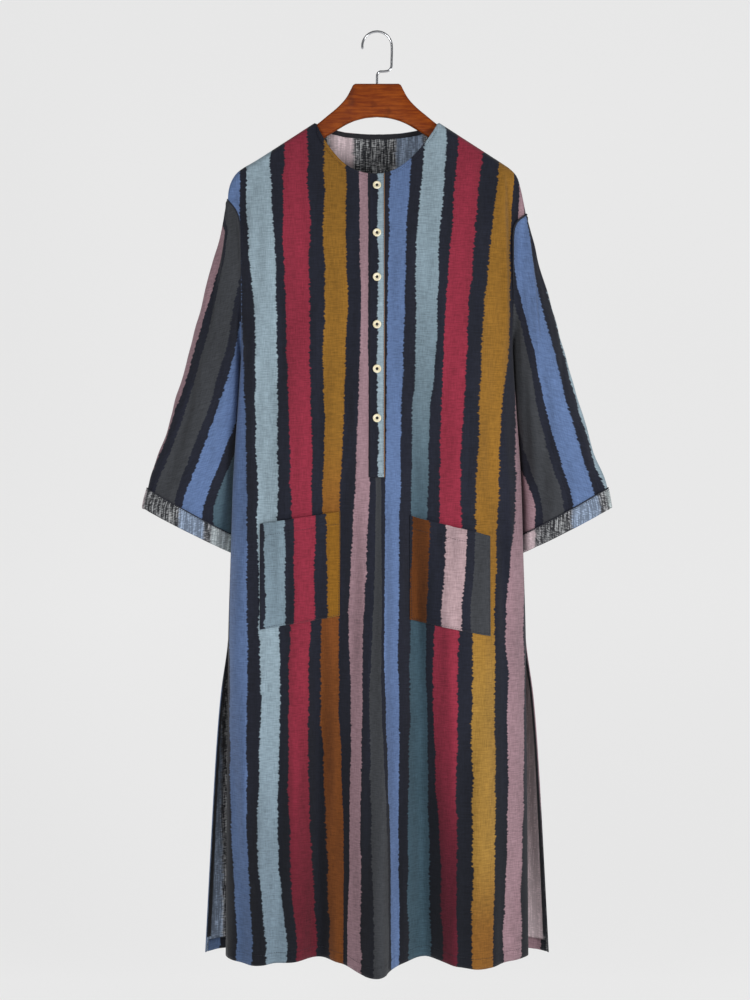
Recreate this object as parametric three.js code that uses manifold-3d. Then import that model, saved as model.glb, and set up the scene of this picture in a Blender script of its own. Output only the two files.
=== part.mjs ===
// A long striped cotton robe on a wooden hanger, in millimetres.
// Z is up, the front faces -Y and X runs to the right as seen from the front.
// The origin is the point inside the top of the hook where a rail carries it.
import * as THREE from "three";
import { mergeVertices } from "three/addons/utils/BufferGeometryUtils.js";
import Module from "manifold-3d";

const wasm = await Module();
wasm.setup();

// Driving dimensions
const CLOTH = 1.5; // wall of every cut panel
const TRIM = 1.1; // wall of folded hems and narrow bands
const SEAM_GAP = 0.4; // between two pieces sewn together
const NECK_HALF = 94; // from the centre to the neck point
const NECK_TURN_HALF = 90.5; // where the neck's edge has left the hanger's top
const NECK_Z = -137; // height of both neck points
const FRONT_NECK_DROP = 85; // depth of the front scoop
const FRONT_NECK_POWER = { left: 2.5, right: 2 }; // how square the scoop is on each side
const BACK_NECK_DROP = 14;
const BACK_NECK_POWER = 2.5;
const CHEST_HALF = 206; // half of the front view's width between the armholes
const ARMPIT_Z = -484;
const SHOULDER_SLOPE = 0.6457; // fall for each millimetre sideways
const NECK_RISE = 0.8; // rise of the wood for each millimetre inwards from the neck point
const SHOULDER_END_START = 175; // where the cloth starts to bend over the hanger's end
const ARMHOLE_HALF_DEPTH = 26;
const RIDGE_RADIUS = 9; // of the cloth over the hanger's arm
const RIDGE_FALL = 55; // below the ridge, where the cloth has swelled to two thirds of its depth
const SHOULDER_FADE = 18; // below the dropped shoulder, where it has come back to the body's side
const SIDE_SHARPNESS = 0.85; // 1 gives an elliptical section, less a squarer one
const EDGE_START = 0.7; // across position where a panel starts to bend towards its side seam
const FOLD_MARGIN = 0.16; // next to the side seams, where the folds die out
const FOLD_SHARPNESS = 1.6;
const PLACKET_HALF = 12;
const PLACKET_BOTTOM_Z = -679;
const SLIT_TOP_Z = -923;
const HEM_Z = -1404;
const HEM_DEPTH = 19;
const SLIT_SPREAD = 13; // at the hem, from the side's plane to each panel's edge
const NECK_BAND_WIDTH = 5.5;
const CUFF_START = 0.93; // share of the sleeve's length where the turned-up cuff ends

// Outline and depth of the body, a row for each level
const bodyLevels = [
  { z: -137, front: 206, back: 206, frontDepth: 15, backDepth: 12 },
  { z: -217, front: 206, back: 206, frontDepth: 38, backDepth: 27 },
  { z: -300, front: 206, back: 206, frontDepth: 55, backDepth: 42 },
  { z: -400, front: 206, back: 206, frontDepth: 68, backDepth: 52 },
  { z: -484, front: 207, back: 207, frontDepth: 74, backDepth: 57 },
  { z: -679, front: 219.5, back: 219.5, frontDepth: 76, backDepth: 60 },
  { z: -790, front: 223, back: 223, frontDepth: 77, backDepth: 60 },
  { z: -923, front: 227, back: 227, frontDepth: 78, backDepth: 60 },
  { z: -1100, front: 228, back: 241, frontDepth: 78, backDepth: 60 },
  { z: -1420, front: 230, back: 264, frontDepth: 76, backDepth: 58 },
];

// Where the shoulder seam bends down over the end of the hanger, for each side
const shoulderEnd = {
  left: [
    { x: 175, z: -189.3 },
    { x: 190, z: -198.5 },
    { x: 204, z: -206.5 },
    { x: 215, z: -215.5 },
    { x: 223, z: -229 },
    { x: 226.5, z: -242 },
    { x: 227.5, z: -254 },
  ],
  right: [
    { x: 175, z: -189.3 },
    { x: 190, z: -199 },
    { x: 203, z: -208 },
    { x: 213, z: -219 },
    { x: 219, z: -238 },
    { x: 224, z: -261 },
    { x: 227, z: -277 },
  ],
};

// Soft folds, a row for each: centre at the hem, half width, swell at the hem and the height where it starts
const frontFolds = [
  { x: -6, halfWidth: 40, swell: 32, startZ: -640 },
  { x: -186, halfWidth: 48, swell: 11, startZ: -760 },
  { x: 152, halfWidth: 52, swell: 15, startZ: -700 },
  { x: -92, halfWidth: 46, swell: -13, startZ: -640 },
  { x: 74, halfWidth: 44, swell: -16, startZ: -600 },
];
const backFolds = [
  { x: -150, halfWidth: 60, swell: 16, startZ: -640 },
  { x: 20, halfWidth: 70, swell: 20, startZ: -560 },
  { x: 165, halfWidth: 50, swell: 13, startZ: -700 },
  { x: -65, halfWidth: 48, swell: -12, startZ: -640 },
  { x: 100, halfWidth: 48, swell: -12, startZ: -640 },
];

// A sleeve as it hangs, a row for each share of its length: its outer edge, the height of its inner edge,
// which follows the body's side, and half its depth
const sleeveLevels = [
  { s: 0, outerX: 227.5, outerZ: -254, innerZ: -484, halfDepth: 26 },
  { s: 0.15, outerX: 245, outerZ: -330, innerZ: -535, halfDepth: 34 },
  { s: 0.35, outerX: 270, outerZ: -425, innerZ: -606, halfDepth: 37 },
  { s: 0.6, outerX: 302, outerZ: -545, innerZ: -688, halfDepth: 34 },
  { s: 0.8, outerX: 331, outerZ: -637, innerZ: -742, halfDepth: 30 },
  { s: 0.93, outerX: 350, outerZ: -695, innerZ: -766, halfDepth: 27 },
  { s: 1, outerX: 357, outerZ: -724, innerZ: -792, halfDepth: 26 },
];
const SLEEVE_CLEARANCE = 3; // from the body's side to the sleeve's inner edge at the cuff
const SLEEVE_AWAY = 0.9; // share of the length by which that clearance is reached
const ARMHOLE_POINT = 1.5; // how pointed the armhole's section is
const SLEEVE_POINT = 0.92; // how pointed the sleeve's section is
const SLEEVE_ROUNDED = 0.35; // share of the length by which it has that section

// Corners of each patch pocket on the front
const pockets = {
  left: { outerX: -175, innerX: -55, topOuterZ: -748, topInnerZ: -729, bottomOuterZ: -906, bottomInnerZ: -885 },
  right: { outerX: 168, innerX: 48, topOuterZ: -766, topInnerZ: -735, bottomOuterZ: -915, bottomInnerZ: -891 },
};

const buttonHeights = [-241, -314, -381, -452, -518, -591];
const BUTTON_RADIUS = 6.3;
const BUTTON_HEIGHT = 2.8;
const PLACKET_LIFT = 0.4; // of the upper strip over the front
const BUTTON_STAND = PLACKET_LIFT + SEAM_GAP;

const { sin, cos, sqrt, abs, sign, min, max, exp, asin, PI } = Math;
const clamp01 = (t) => min(1, max(0, t));
const smooth = (t) => clamp01(t) ** 2 * (3 - 2 * clamp01(t));
const mix = (a, b, t) => a + (b - a) * t;
const sideOf = (u) => (u < 0 ? "left" : "right");

// A smooth curve through one column of a table, over the column named by
function curveOf(rows, by, key) {
  const at = rows.map((row) => row[by]);
  const value = rows.map((row) => row[key]);
  const last = rows.length - 1;
  const slope = value.map((_, i) => {
    const a = max(0, i - 1);
    const b = min(last, i + 1);
    return (value[b] - value[a]) / (at[b] - at[a]);
  });
  const rising = at[last] > at[0];
  return (t) => {
    let i = 0;
    while (i < last - 1 && (rising ? t > at[i + 1] : t < at[i + 1])) i += 1;
    const span = at[i + 1] - at[i];
    const k = clamp01((t - at[i]) / span);
    const k2 = k * k;
    const k3 = k2 * k;
    return (
      (2 * k3 - 3 * k2 + 1) * value[i] +
      (k3 - 2 * k2 + k) * span * slope[i] +
      (3 * k2 - 2 * k3) * value[i + 1] +
      (k3 - k2) * span * slope[i + 1]
    );
  };
}

const halfWidth = { front: curveOf(bodyLevels, "z", "front"), back: curveOf(bodyLevels, "z", "back") };
const depth = { front: curveOf(bodyLevels, "z", "frontDepth"), back: curveOf(bodyLevels, "z", "backDepth") };

// The end of the shoulder as a curve measured by its own length
const endCurve = {};
for (const side of ["left", "right"])
  endCurve[side] = new THREE.CatmullRomCurve3(
    shoulderEnd[side].map((p) => new THREE.Vector3(p.x, 0, p.z)),
    false,
    "centripetal",
  );

// Share of the shoulder end that a column has reached, 0 on the straight shoulder and 1 at the armhole
const endShare = (u) =>
  clamp01((CHEST_HALF * sin(abs(u) * PI * 0.5) - SHOULDER_END_START) / (CHEST_HALF - SHOULDER_END_START));

// The top of the ridge over a column: its distance from the centre and its height
function ridgeTop(u) {
  const x = CHEST_HALF * sin(abs(u) * PI * 0.5);
  if (x <= NECK_HALF) return { x, z: NECK_Z + NECK_RISE * (NECK_HALF - x) };
  if (x <= SHOULDER_END_START) return { x, z: NECK_Z - SHOULDER_SLOPE * (x - NECK_HALF) };
  const p = endCurve[sideOf(u)].getPointAt(endShare(u));
  return { x: p.x, z: p.z };
}

// The cut edge at the top of a column: the shoulder seam, or the neckline between the neck points
function topEdge(face, u) {
  const ridge = ridgeTop(u);
  if (ridge.x >= NECK_HALF) return ridge.z;
  const share = ridge.x / NECK_HALF;
  return face === "front"
    ? NECK_Z - FRONT_NECK_DROP * (1 - share ** FRONT_NECK_POWER[sideOf(u)])
    : NECK_Z - BACK_NECK_DROP * (1 - share ** BACK_NECK_POWER);
}

// Half the armhole's depth at a height: a pointed oval between the shoulder's end and the armpit
function armholeDepth(side, z) {
  const top = shoulderEnd[side].at(-1).z;
  const middle = (top + ARMPIT_Z) / 2;
  const half = (top - ARMPIT_Z) / 2;
  const c = min(1, abs((z - middle) / half));
  return ARMHOLE_HALF_DEPTH * (1 - c * c) ** 0.75;
}

// How far the dropped shoulder stands out sideways, which fades below it
const dropFade = (drop) => exp(-((max(0, drop) / SHOULDER_FADE) ** 1.25));

// Sum of the soft folds at a point: each a bell that grows from its start down to the hem
function foldSwell(folds, x, z) {
  let sum = 0;
  for (const fold of folds) {
    const growth = smooth((fold.startZ - z) / (fold.startZ - HEM_Z));
    const offset = (x - fold.x) / fold.halfWidth;
    sum += fold.swell * growth * exp(-offset * offset * FOLD_SHARPNESS);
  }
  return sum;
}

// Edges of both panels draw apart below the top of the slits
const slitSpread = (z) => SLIT_SPREAD * smooth((SLIT_TOP_Z - z) / (SLIT_TOP_Z - HEM_Z));

// A point on the outside of the front or back: u runs from -1 to 1 between the side seams, z is the height
function bodyPoint(face, u, z) {
  const turn = u * PI * 0.5;
  const ridge = ridgeTop(u);
  const drop = ridge.z - z;
  const level = halfWidth[face](z);
  const spread = (ridge.x - CHEST_HALF * abs(sin(turn))) * dropFade(drop);
  const x = level * sin(turn) + sign(u) * spread;
  const round = max(0.01, RIDGE_RADIUS * (1 - endShare(u) ** 3));
  const overRidge = round * sqrt(max(0, 1 - (1 - min(1, max(0, drop) / round)) ** 2));
  const swell = depth[face](z) * max(0, cos(turn)) ** SIDE_SHARPNESS * (1 - exp(-max(0, drop) / RIDGE_FALL));
  const edge = clamp01((abs(u) - EDGE_START) / (1 - EDGE_START)) ** 2;
  const folds = foldSwell(face === "front" ? frontFolds : backFolds, x, z) * smooth((1 - abs(u)) / FOLD_MARGIN);
  const out =
    SEAM_GAP / 2 +
    overRidge +
    swell +
    edge * (armholeDepth(sideOf(u), z) + slitSpread(z)) +
    folds;
  return new THREE.Vector3(x, face === "front" ? -out : out, z);
}

// Across position of a point of the front with a given x and height
const acrossAt = (x, z) => asin(x / halfWidth.front(z)) / (PI * 0.5);

const HEM_FALL = 0.36; // how far the hem falls for each millimetre that a fold swells
const HEM_SETTLE_Z = -1250; // below it, the rows of a panel come to follow its hem
const FRONT_HEM_RISE = 2; // of the hem where no fold swells
const BACK_HEM_DROP = 2;
const BACK_HEM_WAVE = 3;
const BACK_HEM_WAVE_LENGTH = 60; // across, for each radian of the wave

// Height of the hem along a panel, which rises and falls a little with the folds
function hemHeight(face, u) {
  const x = halfWidth[face](HEM_Z) * sin(u * PI * 0.5);
  if (face === "back") return HEM_Z - BACK_HEM_DROP - BACK_HEM_WAVE * cos(x / BACK_HEM_WAVE_LENGTH);
  return HEM_Z + foldSwell(frontFolds, x, HEM_Z) * -HEM_FALL + FRONT_HEM_RISE;
}

// A closed wall over a grid of outer points. The wall is moved out by lift and is thick inwards.
// keep says which cells belong to it, closed joins the last column to the first, and seat may move an inner
// point back to the plane of its seam.
function wall(grid, options = {}) {
  const { thickness = CLOTH, lift = 0, closed = false, keep = () => true, seat = () => {} } = options;
  const rows = grid.length;
  const columns = grid[0].length;
  const cellColumns = closed ? columns : columns - 1;
  const around = (i) => (closed ? (i + columns) % columns : min(columns - 1, max(0, i)));
  const outer = [];
  const inner = [];
  const across = new THREE.Vector3();
  const down = new THREE.Vector3();
  for (let j = 0; j < rows; j += 1)
    for (let i = 0; i < columns; i += 1) {
      across.subVectors(grid[j][around(i + 1)], grid[j][around(i - 1)]);
      down.subVectors(grid[min(rows - 1, j + 1)][i], grid[max(0, j - 1)][i]);
      const normal = new THREE.Vector3().crossVectors(down, across).normalize();
      const a = grid[j][i].clone().addScaledVector(normal, lift);
      const b = grid[j][i].clone().addScaledVector(normal, lift - thickness);
      seat(a, b, i, j);
      outer.push(a);
      inner.push(b);
    }
  const position = [];
  const triangle = (a, b, c) => position.push(a.x, a.y, a.z, b.x, b.y, b.z, c.x, c.y, c.z);
  const has = (i, j) => j >= 0 && j < rows - 1 && (closed || (i >= 0 && i < cellColumns)) && keep(around(i), j);
  const at = (list, i, j) => list[j * columns + around(i)];
  const side = (i0, j0, i1, j1) => {
    triangle(at(outer, i0, j0), at(inner, i0, j0), at(outer, i1, j1));
    triangle(at(outer, i1, j1), at(inner, i0, j0), at(inner, i1, j1));
  };
  for (let j = 0; j < rows - 1; j += 1)
    for (let i = 0; i < cellColumns; i += 1) {
      if (!has(i, j)) continue;
      triangle(at(outer, i, j), at(outer, i, j + 1), at(outer, i + 1, j));
      triangle(at(outer, i + 1, j), at(outer, i, j + 1), at(outer, i + 1, j + 1));
      triangle(at(inner, i, j), at(inner, i + 1, j), at(inner, i, j + 1));
      triangle(at(inner, i + 1, j), at(inner, i + 1, j + 1), at(inner, i, j + 1));
      if (!has(i, j - 1)) side(i + 1, j, i, j);
      if (!has(i, j + 1)) side(i, j + 1, i + 1, j + 1);
      if (!has(i - 1, j)) side(i, j, i, j + 1);
      if (!has(i + 1, j)) side(i + 1, j + 1, i + 1, j);
    }
  const geometry = new THREE.BufferGeometry();
  geometry.setAttribute("position", new THREE.Float32BufferAttribute(position, 3));
  return geometry;
}

// A grid turned left to right, for a wall whose faces must point the other way
const mirrored = (grid) => grid.map((row) => [...row].reverse());

const range = (count) => Array.from({ length: count }, (_, i) => i);

// Columns of a panel from one side seam to the other, given those of its right half
const bothSides = (half) => [...half.map((u) => -u).reverse(), ...half];

const slotU = asin(PLACKET_HALF / CHEST_HALF) / (PI * 0.5);
const neckU = asin(NECK_HALF / CHEST_HALF) / (PI * 0.5);
const neckTurnU = asin(NECK_TURN_HALF / CHEST_HALF) / (PI * 0.5);
const frontHalfColumns = [
  slotU, 0.1, 0.165, 0.23, neckTurnU, neckU, 0.365, 0.43, 0.505, 0.58, 0.66, 0.74, 0.82, 0.885, 0.945, 1,
];
const backHalfColumns = [0.08, 0.16, 0.23, neckTurnU, neckU, 0.38, 0.47, 0.57, 0.67, 0.77, 0.86, 0.93, 1];

// Rows of a panel: close together over the ridge, then at the same heights across
const topShares = [0, 0.008, 0.028, 0.07, 0.15, 0.3, 0.5, 0.74];
const COMMON_TOP_Z = -330;
const frontHeights = [
  COMMON_TOP_Z, -378, -418, -450, -472, ARMPIT_Z, -510, -560, -620, PLACKET_BOTTOM_Z, -730, -790, -855,
  SLIT_TOP_Z, -985, -1050, -1120, -1190, -1260, -1325, HEM_Z + HEM_DEPTH, HEM_Z,
];
const backHeights = [
  COMMON_TOP_Z, -378, -418, -450, -472, ARMPIT_Z, -515, -590, -680, -770, -850, SLIT_TOP_Z, -1000, -1085, -1170,
  -1255, -1325, HEM_Z + HEM_DEPTH, HEM_Z,
];

// Grid of outer points of the front or back panel
function panelGrid(face, columns, heights) {
  const top = topShares.map((share) => (u) => mix(topEdge(face, u), COMMON_TOP_Z, share));
  const below = heights.map((height) => (u) => {
    const settle = smooth((height - HEM_SETTLE_Z) / (HEM_Z - HEM_SETTLE_Z));
    return height + settle * (hemHeight(face, u) - HEM_Z);
  });
  return [...top, ...below].map((heightAt) => columns.map((u) => bodyPoint(face, u, heightAt(u))));
}

// Keeps a panel's edges flat at its seams and the whole wall on its own side of them
const seatAtSeams = (columns, facing) => (outer, inner, i, j) => {
  const atSide = i === 0 || i === columns.length - 1;
  const atShoulder = j === 0 && abs(columns[i]) >= neckU;
  if (atShoulder || (atSide && outer.z <= ARMPIT_Z + 1)) inner.y = outer.y;
  if (atSide && abs(inner.x) > abs(outer.x)) inner.x = outer.x;
  inner.y = facing * max(facing * inner.y, SEAM_GAP / 2);
};

const frontColumns = bothSides(frontHalfColumns);
const frontGrid = panelGrid("front", frontColumns, frontHeights);
const slotCell = frontHalfColumns.length - 1;
const slotRows = topShares.length + frontHeights.indexOf(PLACKET_BOTTOM_Z);

const backColumns = bothSides(backHalfColumns);
const backGrid = panelGrid("back", backColumns, backHeights);

const frontPanel = () =>
  wall(frontGrid, { keep: (i, j) => i !== slotCell || j >= slotRows, seat: seatAtSeams(frontColumns, -1) });

const backPanel = () => wall(mirrored(backGrid), { seat: seatAtSeams(backColumns, 1) });

// Placket strips down the front slot: the upper one fills it and the under one lies behind its edges
function placketStrip(widthShare, lift, topZ, bottomZ) {
  const columns = [-widthShare * slotU, 0, widthShare * slotU];
  const shared = [...topShares.map((share) => mix(topEdge("front", 0), COMMON_TOP_Z, share)), ...frontHeights];
  const heights = [topZ, ...shared.filter((z) => z < topZ - 1 && z > bottomZ + 1), bottomZ];
  const grid = heights.map((z) => columns.map((u) => bodyPoint("front", u, z)));
  return wall(grid, { lift });
}

const frontNeckZ = topEdge("front", 0);
const edgeClearance = 1 - SEAM_GAP / PLACKET_HALF;
const UNDER_WIDTH = 1.3; // of the under strip, as a share of the slot's width
const UNDER_TOP = 2.5; // from the neckline down to the under strip
const UNDER_TAIL = 8; // of the under strip below the slot
const upperPlacket = () => placketStrip(edgeClearance, PLACKET_LIFT, frontNeckZ, PLACKET_BOTTOM_Z + SEAM_GAP);
const underPlacket = () =>
  placketStrip(UNDER_WIDTH, -CLOTH - SEAM_GAP, frontNeckZ - UNDER_TOP, PLACKET_BOTTOM_Z - UNDER_TAIL);

const POCKET_GAP = 0.6; // from the front to the pocket's inside
const POCKET_ROWS = 8;
const POCKET_COLUMNS = 8;

// A patch pocket: its cells lie on the front, moved out
function pocket(corner) {
  const grid = range(POCKET_ROWS + 1).map((j) =>
    range(POCKET_COLUMNS + 1).map((i) => {
      const across = i / POCKET_COLUMNS;
      const share = corner.outerX < 0 ? across : 1 - across;
      const top = mix(corner.topOuterZ, corner.topInnerZ, share);
      const bottom = mix(corner.bottomOuterZ, corner.bottomInnerZ, share);
      const z = mix(top, bottom, j / POCKET_ROWS);
      return bodyPoint("front", acrossAt(mix(corner.outerX, corner.innerX, share), z), z);
    }),
  );
  return wall(grid, { lift: CLOTH + POCKET_GAP });
}

const SLOPE_STEP = 0.01; // across, to measure how steep the neckline is

// A narrow band along the top edge of a panel between two of its columns
function neckBand(face, columns, lift) {
  const grid = [0, 0.5, 1].map((share) =>
    columns.map((u) => {
      const near = ridgeTop(u + SLOPE_STEP).x - ridgeTop(u - SLOPE_STEP).x;
      const slope = (topEdge(face, u + SLOPE_STEP) - topEdge(face, u - SLOPE_STEP)) / near;
      const steep = face === "front" ? sqrt(1 + slope * slope) : 1;
      return bodyPoint(face, u, topEdge(face, u) - SEAM_GAP - NECK_BAND_WIDTH * share * steep);
    }),
  );
  return wall(face === "front" ? grid : mirrored(grid), { thickness: TRIM, lift });
}

const BAND_INSET = 0.004; // across, from the slot to the bands' ends
const bandColumns = frontHalfColumns.slice(0, frontHalfColumns.indexOf(neckU));
bandColumns[0] += BAND_INSET;
const tapeColumns = bothSides(backHalfColumns.slice(0, backHalfColumns.indexOf(neckTurnU)));
const insideLift = -CLOTH - SEAM_GAP;

// A hem turned up inside the foot of a panel, from the panel's own points
function hemFold(face, columns, grid) {
  const raised = (p, k) => p.clone().setZ(p.z + (k ? SEAM_GAP : 0));
  const rows = grid.slice(-2).map((row, k) => row.slice(1, -1).map((p) => raised(p, k)));
  const middle = rows[0].map((p, i) => bodyPoint(face, columns[i + 1], mix(p.z, rows[1][i].z, 0.5)));
  const strip = [rows[0], middle, rows[1]];
  return wall(face === "front" ? strip : mirrored(strip), { thickness: TRIM, lift: insideLift });
}

// Point between a panel's own points, at a row and a column that need not be whole numbers
function betweenPoints(grid, row, column) {
  const j = min(grid.length - 2, Math.floor(row));
  const i = min(grid[0].length - 2, Math.floor(column));
  const upper = grid[j][i].clone().lerp(grid[j][i + 1], column - i);
  const lower = grid[j + 1][i].clone().lerp(grid[j + 1][i + 1], column - i);
  return upper.lerp(lower, row - j);
}

// Margins of a slit's fold inside the panel's last column and rows, as shares of a cell
const FOLD_SIDE = 0.03;
const FOLD_TOP = 0.04;
const FOLD_FOOT = 0.08;

// The narrow fold along one edge of a slit, on the inside of its panel
function slitFold(face, side) {
  const grid = face === "front" ? frontGrid : backGrid;
  const heights = face === "front" ? frontHeights : backHeights;
  const first = topShares.length + heights.indexOf(SLIT_TOP_Z);
  const last = grid.length - 2;
  const rows = [first + FOLD_TOP, ...range(last - first - 1).map((k) => first + 1 + k), last - FOLD_FOOT];
  const edge = grid[0].length - 1;
  const inwards = [FOLD_SIDE, 0.5, 1 - FOLD_SIDE];
  const columns = side === "left" ? inwards : inwards.map((share) => edge - share).reverse();
  const strip = rows.map((row) => columns.map((column) => betweenPoints(grid, row, column)));
  return wall(face === "front" ? strip : mirrored(strip), { thickness: TRIM, lift: insideLift });
}

// Point of a sleeve: s runs down its length, angle goes round from its upper edge
const sleeve = {};
for (const key of ["outerX", "outerZ", "innerZ", "halfDepth"]) sleeve[key] = curveOf(sleeveLevels, "s", key);

function sleevePoint(side, s, angle) {
  const share = (1 + cos(angle)) / 2;
  const top = shoulderEnd[side].at(-1);
  const fade = (1 - s) ** 3;
  const outerX = sleeve.outerX(s) + (top.x - sleeveLevels[0].outerX) * fade;
  const outerZ = sleeve.outerZ(s) + (top.z - sleeveLevels[0].outerZ) * fade;
  const innerZ = sleeve.innerZ(s);
  const seamZ = mix(ARMPIT_Z, top.z, share);
  const seamX = halfWidth.front(seamZ) + (top.x - CHEST_HALF) * dropFade(top.z - seamZ);
  const bend = seamX - mix(halfWidth.front(ARMPIT_Z), top.x, share);
  const away = mix(SEAM_GAP, SLEEVE_CLEARANCE, smooth(s / SLEEVE_AWAY));
  const x = mix(halfWidth.front(innerZ), outerX, share) + bend * fade + away * mix(1, fade, share);
  const z = mix(innerZ, outerZ, share) - SEAM_GAP * share * fade;
  const power = mix(ARMHOLE_POINT, SLEEVE_POINT, smooth(s / SLEEVE_ROUNDED));
  const y = -sleeve.halfDepth(s) * sign(sin(angle)) * abs(sin(angle)) ** power;
  return new THREE.Vector3(side === "left" ? -x : x, y, z);
}

const sleeveShares = [0, 0.035, 0.09, 0.17, 0.28, 0.41, 0.55, 0.69, 0.82, CUFF_START, 0.965, 1];
const cuffShares = sleeveShares.slice(-3);

// Angles round a sleeve that meet the rows of the panels' edges at the armhole
function sleeveAngles(side) {
  const top = shoulderEnd[side].at(-1).z;
  const armholeRows = frontHeights.slice(0, frontHeights.indexOf(ARMPIT_Z));
  const heights = [...topShares.map((share) => mix(top, COMMON_TOP_Z, share)), ...armholeRows];
  const down = heights.map((z) => Math.acos((2 * (z - ARMPIT_Z)) / (top - ARMPIT_Z) - 1));
  return [...down, PI, ...down.slice(1).reverse().map((angle) => 2 * PI - angle)];
}

// Keeps the sleeve's edge flat where it meets the armhole
const seatAtArmhole = (outer, inner, i, j) => {
  if (j === 0) inner.x = outer.x;
};

function sleeveWall(side, shares, options) {
  const angles = sleeveAngles(side);
  const grid = shares.map((s) => angles.map((angle) => sleevePoint(side, s, angle)));
  return wall(side === "left" ? grid : mirrored(grid), { closed: true, ...options });
}

// A shirt button: a rounded rim round a sunk middle, standing on the placket
function button() {
  const profile = [
    [0, 0],
    [BUTTON_RADIUS * 0.85, 0],
    [BUTTON_RADIUS, BUTTON_HEIGHT * 0.5],
    [BUTTON_RADIUS * 0.8, BUTTON_HEIGHT],
    [BUTTON_RADIUS * 0.5, BUTTON_HEIGHT * 0.62],
    [0, BUTTON_HEIGHT * 0.62],
  ];
  return new THREE.LatheGeometry(profile.map(([r, h]) => new THREE.Vector2(r, h)), 12);
}

// The wooden hanger, a row for each station along one arm: its distance from the hook and its two edges
const HANGER_THICKNESS = 12;
const HANGER_EDGE_RADIUS = 4.5;
const hangerStations = [
  { x: 0, top: -78, bottom: -128.5 },
  { x: 18, top: -78, bottom: -130.2 },
  { x: 33, top: -78, bottom: -134 },
  { x: 36.5, top: -80, bottom: -135.3 },
  { x: 46, top: -98, bottom: -139.5 },
  { x: 58, top: -112, bottom: -146.5 },
  { x: 75, top: -126.5, bottom: -157 },
  { x: 94, top: -141.6, bottom: -169.5 },
  { x: 104, top: -146.2, bottom: -175 },
  { x: 134, top: -165.4, bottom: -193 },
  { x: 175, top: -191.9, bottom: -216 },
  { x: 184, top: -198.6, bottom: -219.5 },
  { x: 189, top: -204.5, bottom: -217 },
];

// Rounded oblong through one station, as points round the X axis
function hangerSection(station, side) {
  const middle = (station.top + station.bottom) / 2;
  const half = (station.top - station.bottom) / 2;
  const radius = min(HANGER_EDGE_RADIUS, half * 0.8);
  const perCorner = 3;
  return range(4 * perCorner).map((k) => {
    const corner = Math.floor(k / perCorner);
    const turn = (corner + (k % perCorner) / (perCorner - 1)) * (PI / 2);
    const signY = corner === 0 || corner === 3 ? 1 : -1;
    const signZ = corner < 2 ? 1 : -1;
    const y = signY * (HANGER_THICKNESS / 2 - radius) + radius * cos(turn);
    const z = middle + signZ * (half - radius) + radius * sin(turn);
    return new THREE.Vector3(side * station.x, y, z);
  });
}

function hangerBody() {
  const left = hangerStations.slice(1).reverse().map((station) => hangerSection(station, -1));
  const rings = [...left, ...hangerStations.map((station) => hangerSection(station, 1))];
  const position = [];
  const triangle = (a, b, c) => position.push(...a.toArray(), ...b.toArray(), ...c.toArray());
  const count = rings[0].length;
  for (let j = 0; j < rings.length - 1; j += 1)
    for (let i = 0; i < count; i += 1) {
      const n = (i + 1) % count;
      triangle(rings[j][i], rings[j][n], rings[j + 1][i]);
      triangle(rings[j + 1][i], rings[j][n], rings[j + 1][n]);
    }
  for (let i = 1; i < count - 1; i += 1) {
    triangle(rings[0][0], rings[0][i + 1], rings[0][i]);
    triangle(rings.at(-1)[0], rings.at(-1)[i], rings.at(-1)[i + 1]);
  }
  const geometry = new THREE.BufferGeometry();
  geometry.setAttribute("position", new THREE.Float32BufferAttribute(position, 3));
  return geometry;
}

// The wire hook: a stem out of the wood, a jog to the right, a leg and a half circle.
// The inside top of the half circle is the origin.
const WIRE_RADIUS = 1.9;
const WIRE_CLEARANCE = 0.3; // of the hole round the wire
const HOOK_RADIUS = 22.5;
const HOOK_SEAT_Z = -96;
const HOOK_JOG_Z = -59;
const HOOK_WRAP = 1.04; // half turns of the arc

function hookPath() {
  const centreZ = WIRE_RADIUS - HOOK_RADIUS;
  const points = [
    [0, HOOK_SEAT_Z],
    [0, -84],
    [0, -70],
    [0.6, HOOK_JOG_Z - 4],
    [4, HOOK_JOG_Z - 0.5],
    [11, HOOK_JOG_Z],
    [18, HOOK_JOG_Z + 1.5],
    [21.5, HOOK_JOG_Z + 6],
    [22.2, HOOK_JOG_Z + 16],
  ].map(([x, z]) => new THREE.Vector3(x, 0, z));
  const turns = 12;
  const wrap = PI * HOOK_WRAP;
  for (const k of range(turns + 1)) {
    const a = (k / turns) * wrap;
    points.push(new THREE.Vector3(HOOK_RADIUS * cos(a), 0, centreZ + HOOK_RADIUS * sin(a)));
  }
  return new THREE.CatmullRomCurve3(points, false, "centripetal");
}

function hookWire() {
  const section = new THREE.Shape();
  section.absarc(0, 0, WIRE_RADIUS, 0, 2 * PI, false);
  return new THREE.ExtrudeGeometry(section, {
    steps: 38,
    curveSegments: 4,
    extrudePath: hookPath(),
  });
}

// Conversion between a geometry and a solid that can be cut
function solidOf(geometry) {
  const bare = geometry.clone();
  for (const name of ["normal", "uv"]) bare.deleteAttribute(name);
  const merged = mergeVertices(bare, 1e-3);
  return new wasm.Manifold(
    new wasm.Mesh({
      numProp: 3,
      vertProperties: merged.attributes.position.array,
      triVerts: new Uint32Array(merged.index.array),
    }),
  );
}

function geometryOf(solid) {
  const mesh = solid.getMesh();
  const geometry = new THREE.BufferGeometry();
  geometry.setAttribute("position", new THREE.BufferAttribute(new Float32Array(mesh.vertProperties), 3));
  geometry.setIndex(new THREE.BufferAttribute(new Uint32Array(mesh.triVerts), 1));
  return geometry;
}

const DRILL_OVERSHOOT = 10; // past the wood's top

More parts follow.
